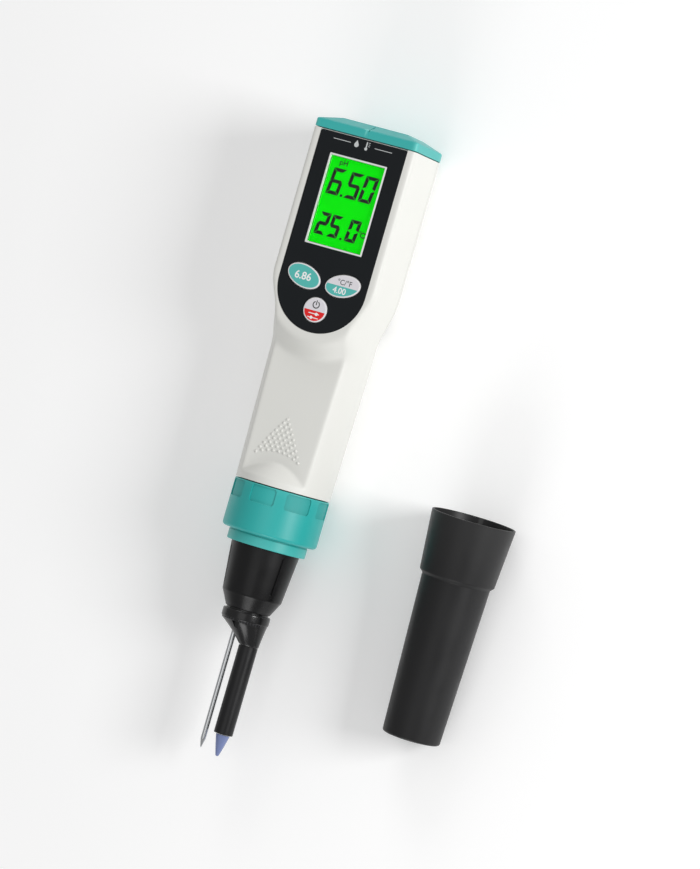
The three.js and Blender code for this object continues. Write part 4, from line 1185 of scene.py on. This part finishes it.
def build_cap():
    length, wall = CAP["length"], CAP["wall"]
    foot, neck, shoulder, mouth = CAP["foot"], CAP["neck"], CAP["shoulder"], CAP["mouth"]
    step = length - CAP["step"]
    profile = [(0, 0)]
    for angle in (0, 22.5, 45, 67.5, 90):
        turn = math.radians(angle)
        profile.append((foot - 1 + math.sin(turn), 1 - math.cos(turn)))
    profile += [(neck - 0.02, step - 1.5), (neck + 0.1, step - 1.15), (shoulder - 0.35, step - 0.35),
                (shoulder - 0.08, step), (shoulder, step + 0.4), (mouth, length - 0.25),
                (mouth - 0.12, length - 0.05),
                (mouth - 0.3, length), (mouth - wall + 0.15, length), (mouth - wall, length - 0.15),
                (shoulder - wall, step + 0.3), (neck - wall, step - 1.2 + wall), (foot - wall, 1.9),
                (foot - 1.5, 1.2), (0, 1.2)]
    cap = lathe("cap", profile, BLACK_CAP, sides=160)
    tilt = math.atan2(mouth - foot, length)
    turned = Matrix.Rotation(math.radians(CAP["yaw"]), 4, "Z") @ Matrix.Rotation(tilt, 4, "X")
    start = world(0, 0, 0)
    bench_gap = 0.02
    rest = foot * math.cos(tilt) + bench_gap
    target = Vector((CAP["x"] * MM, (CAP["station"] - ORIGIN_STATION) * MM, rest * MM))
    cap.data.transform(Matrix.Translation(target) @ turned @ Matrix.Translation(-start))
    dressed(cap, "cap", "protective_cap", "protective_cap", 34)


# ---- The pieces carried over from the CAD, each with its own finish
CAD_FINISHES = {
    "screw_head_left": NICKEL, "screw_head_right": NICKEL,
    "screw_handle_upper": NICKEL, "screw_handle_lower": NICKEL,
    "display_backlight": NATURAL, "display_holder": NATURAL,
    "switch_left": BLACK_MATT, "switch_right": BLACK_MATT, "switch_power": BLACK_MATT,
    "main_board": BOARD_GREEN, "microcontroller": BLACK_MATT,
    "battery_tray": BLACK_MATT, "battery_left": CELL_JACKET, "battery_right": CELL_JACKET,
    "battery_spring": NICKEL, "battery_contact": NICKEL,
    "battery_lead_negative": RUBBER, "battery_lead_positive": LEAD_RED,
    "contact_bridge": NICKEL, "threaded_sleeve": BLACK_BODY, "electrode_socket": BLACK_MATT,
    "sleeve_gasket": RUBBER, "stem_o_ring": RUBBER, "reference_stem": INNER_GLASS, "silver_wire": SILVER,
    "electrode_plug": BRASS, "sensor_lead": RUBBER,
}


def finish_cad_nodes():
    for name, material in CAD_FINISHES.items():
        node = bpy.data.objects[name]
        node.data.materials.clear()
        node.data.materials.append(material)
        soften(node, 34)


# ---- Bench, lights and backdrop
def add_light(name, place, aim, size, power):
    data = bpy.data.lights.new(name, "AREA")
    data.shape = "RECTANGLE"
    data.size, data.size_y = size
    data.energy = power
    light = bpy.data.objects.new(name, data)
    bpy.context.collection.objects.link(light)
    light.location = place
    light.rotation_euler = (Vector(aim) - Vector(place)).to_track_quat("-Z", "Y").to_euler()
    return light


def add_studio():
    floor = bpy.data.meshes.new("floor")
    reach = 4.0
    floor.from_pydata([(-reach, -reach, -0.0002), (reach, -reach, -0.0002), (reach, reach, -0.0002),
                       (-reach, reach, -0.0002)], [], [(0, 1, 2, 3)])
    bench = bpy.data.objects.new("floor", floor)
    bpy.context.collection.objects.link(bench)
    nodes = Nodes("bench", 0.9)
    nodes.shader.inputs["Specular IOR Level"].default_value = 0.1
    nodes.colour(nodes.mix(nodes.noise(6, 2), (0.94, 0.94, 0.94), (0.97, 0.97, 0.97)))
    nodes.shader.inputs["Emission Color"].default_value = (1, 1, 1, 1)
    nodes.shader.inputs["Emission Strength"].default_value = 0.12
    floor.materials.append(nodes.material)

    sky = bpy.data.worlds.new("studio")
    sky.use_nodes = True
    backdrop = sky.node_tree.nodes["Background"]
    backdrop.inputs["Color"].default_value = (1, 1, 1, 1)
    backdrop.inputs["Strength"].default_value = 0.36
    bpy.context.scene.world = sky

    add_light("key", (1.1, 0.15, 0.62), (0.03, -0.08, 0.01), (0.45, 0.45), 9.5)
    add_light("head", (-0.35, 1.05, 0.6), (0.0, -0.08, 0.01), (0.6, 0.6), 3)
    add_light("foot", (0.1, -1.25, 0.5), (0.0, -0.08, 0.01), (0.6, 0.6), 4)
    add_light("top", (0.1, -0.1, 1.5), (0.03, -0.08, 0.0), (0.9, 0.9), 2)


build_casing()
build_panel()
build_display_marks()
build_keys()
build_panel_marks()
build_cover()
build_ring()
build_probe()
build_cap()
finish_cad_nodes()
add_studio()
add_camera()
bpy.context.scene.view_settings.view_transform = "Standard"
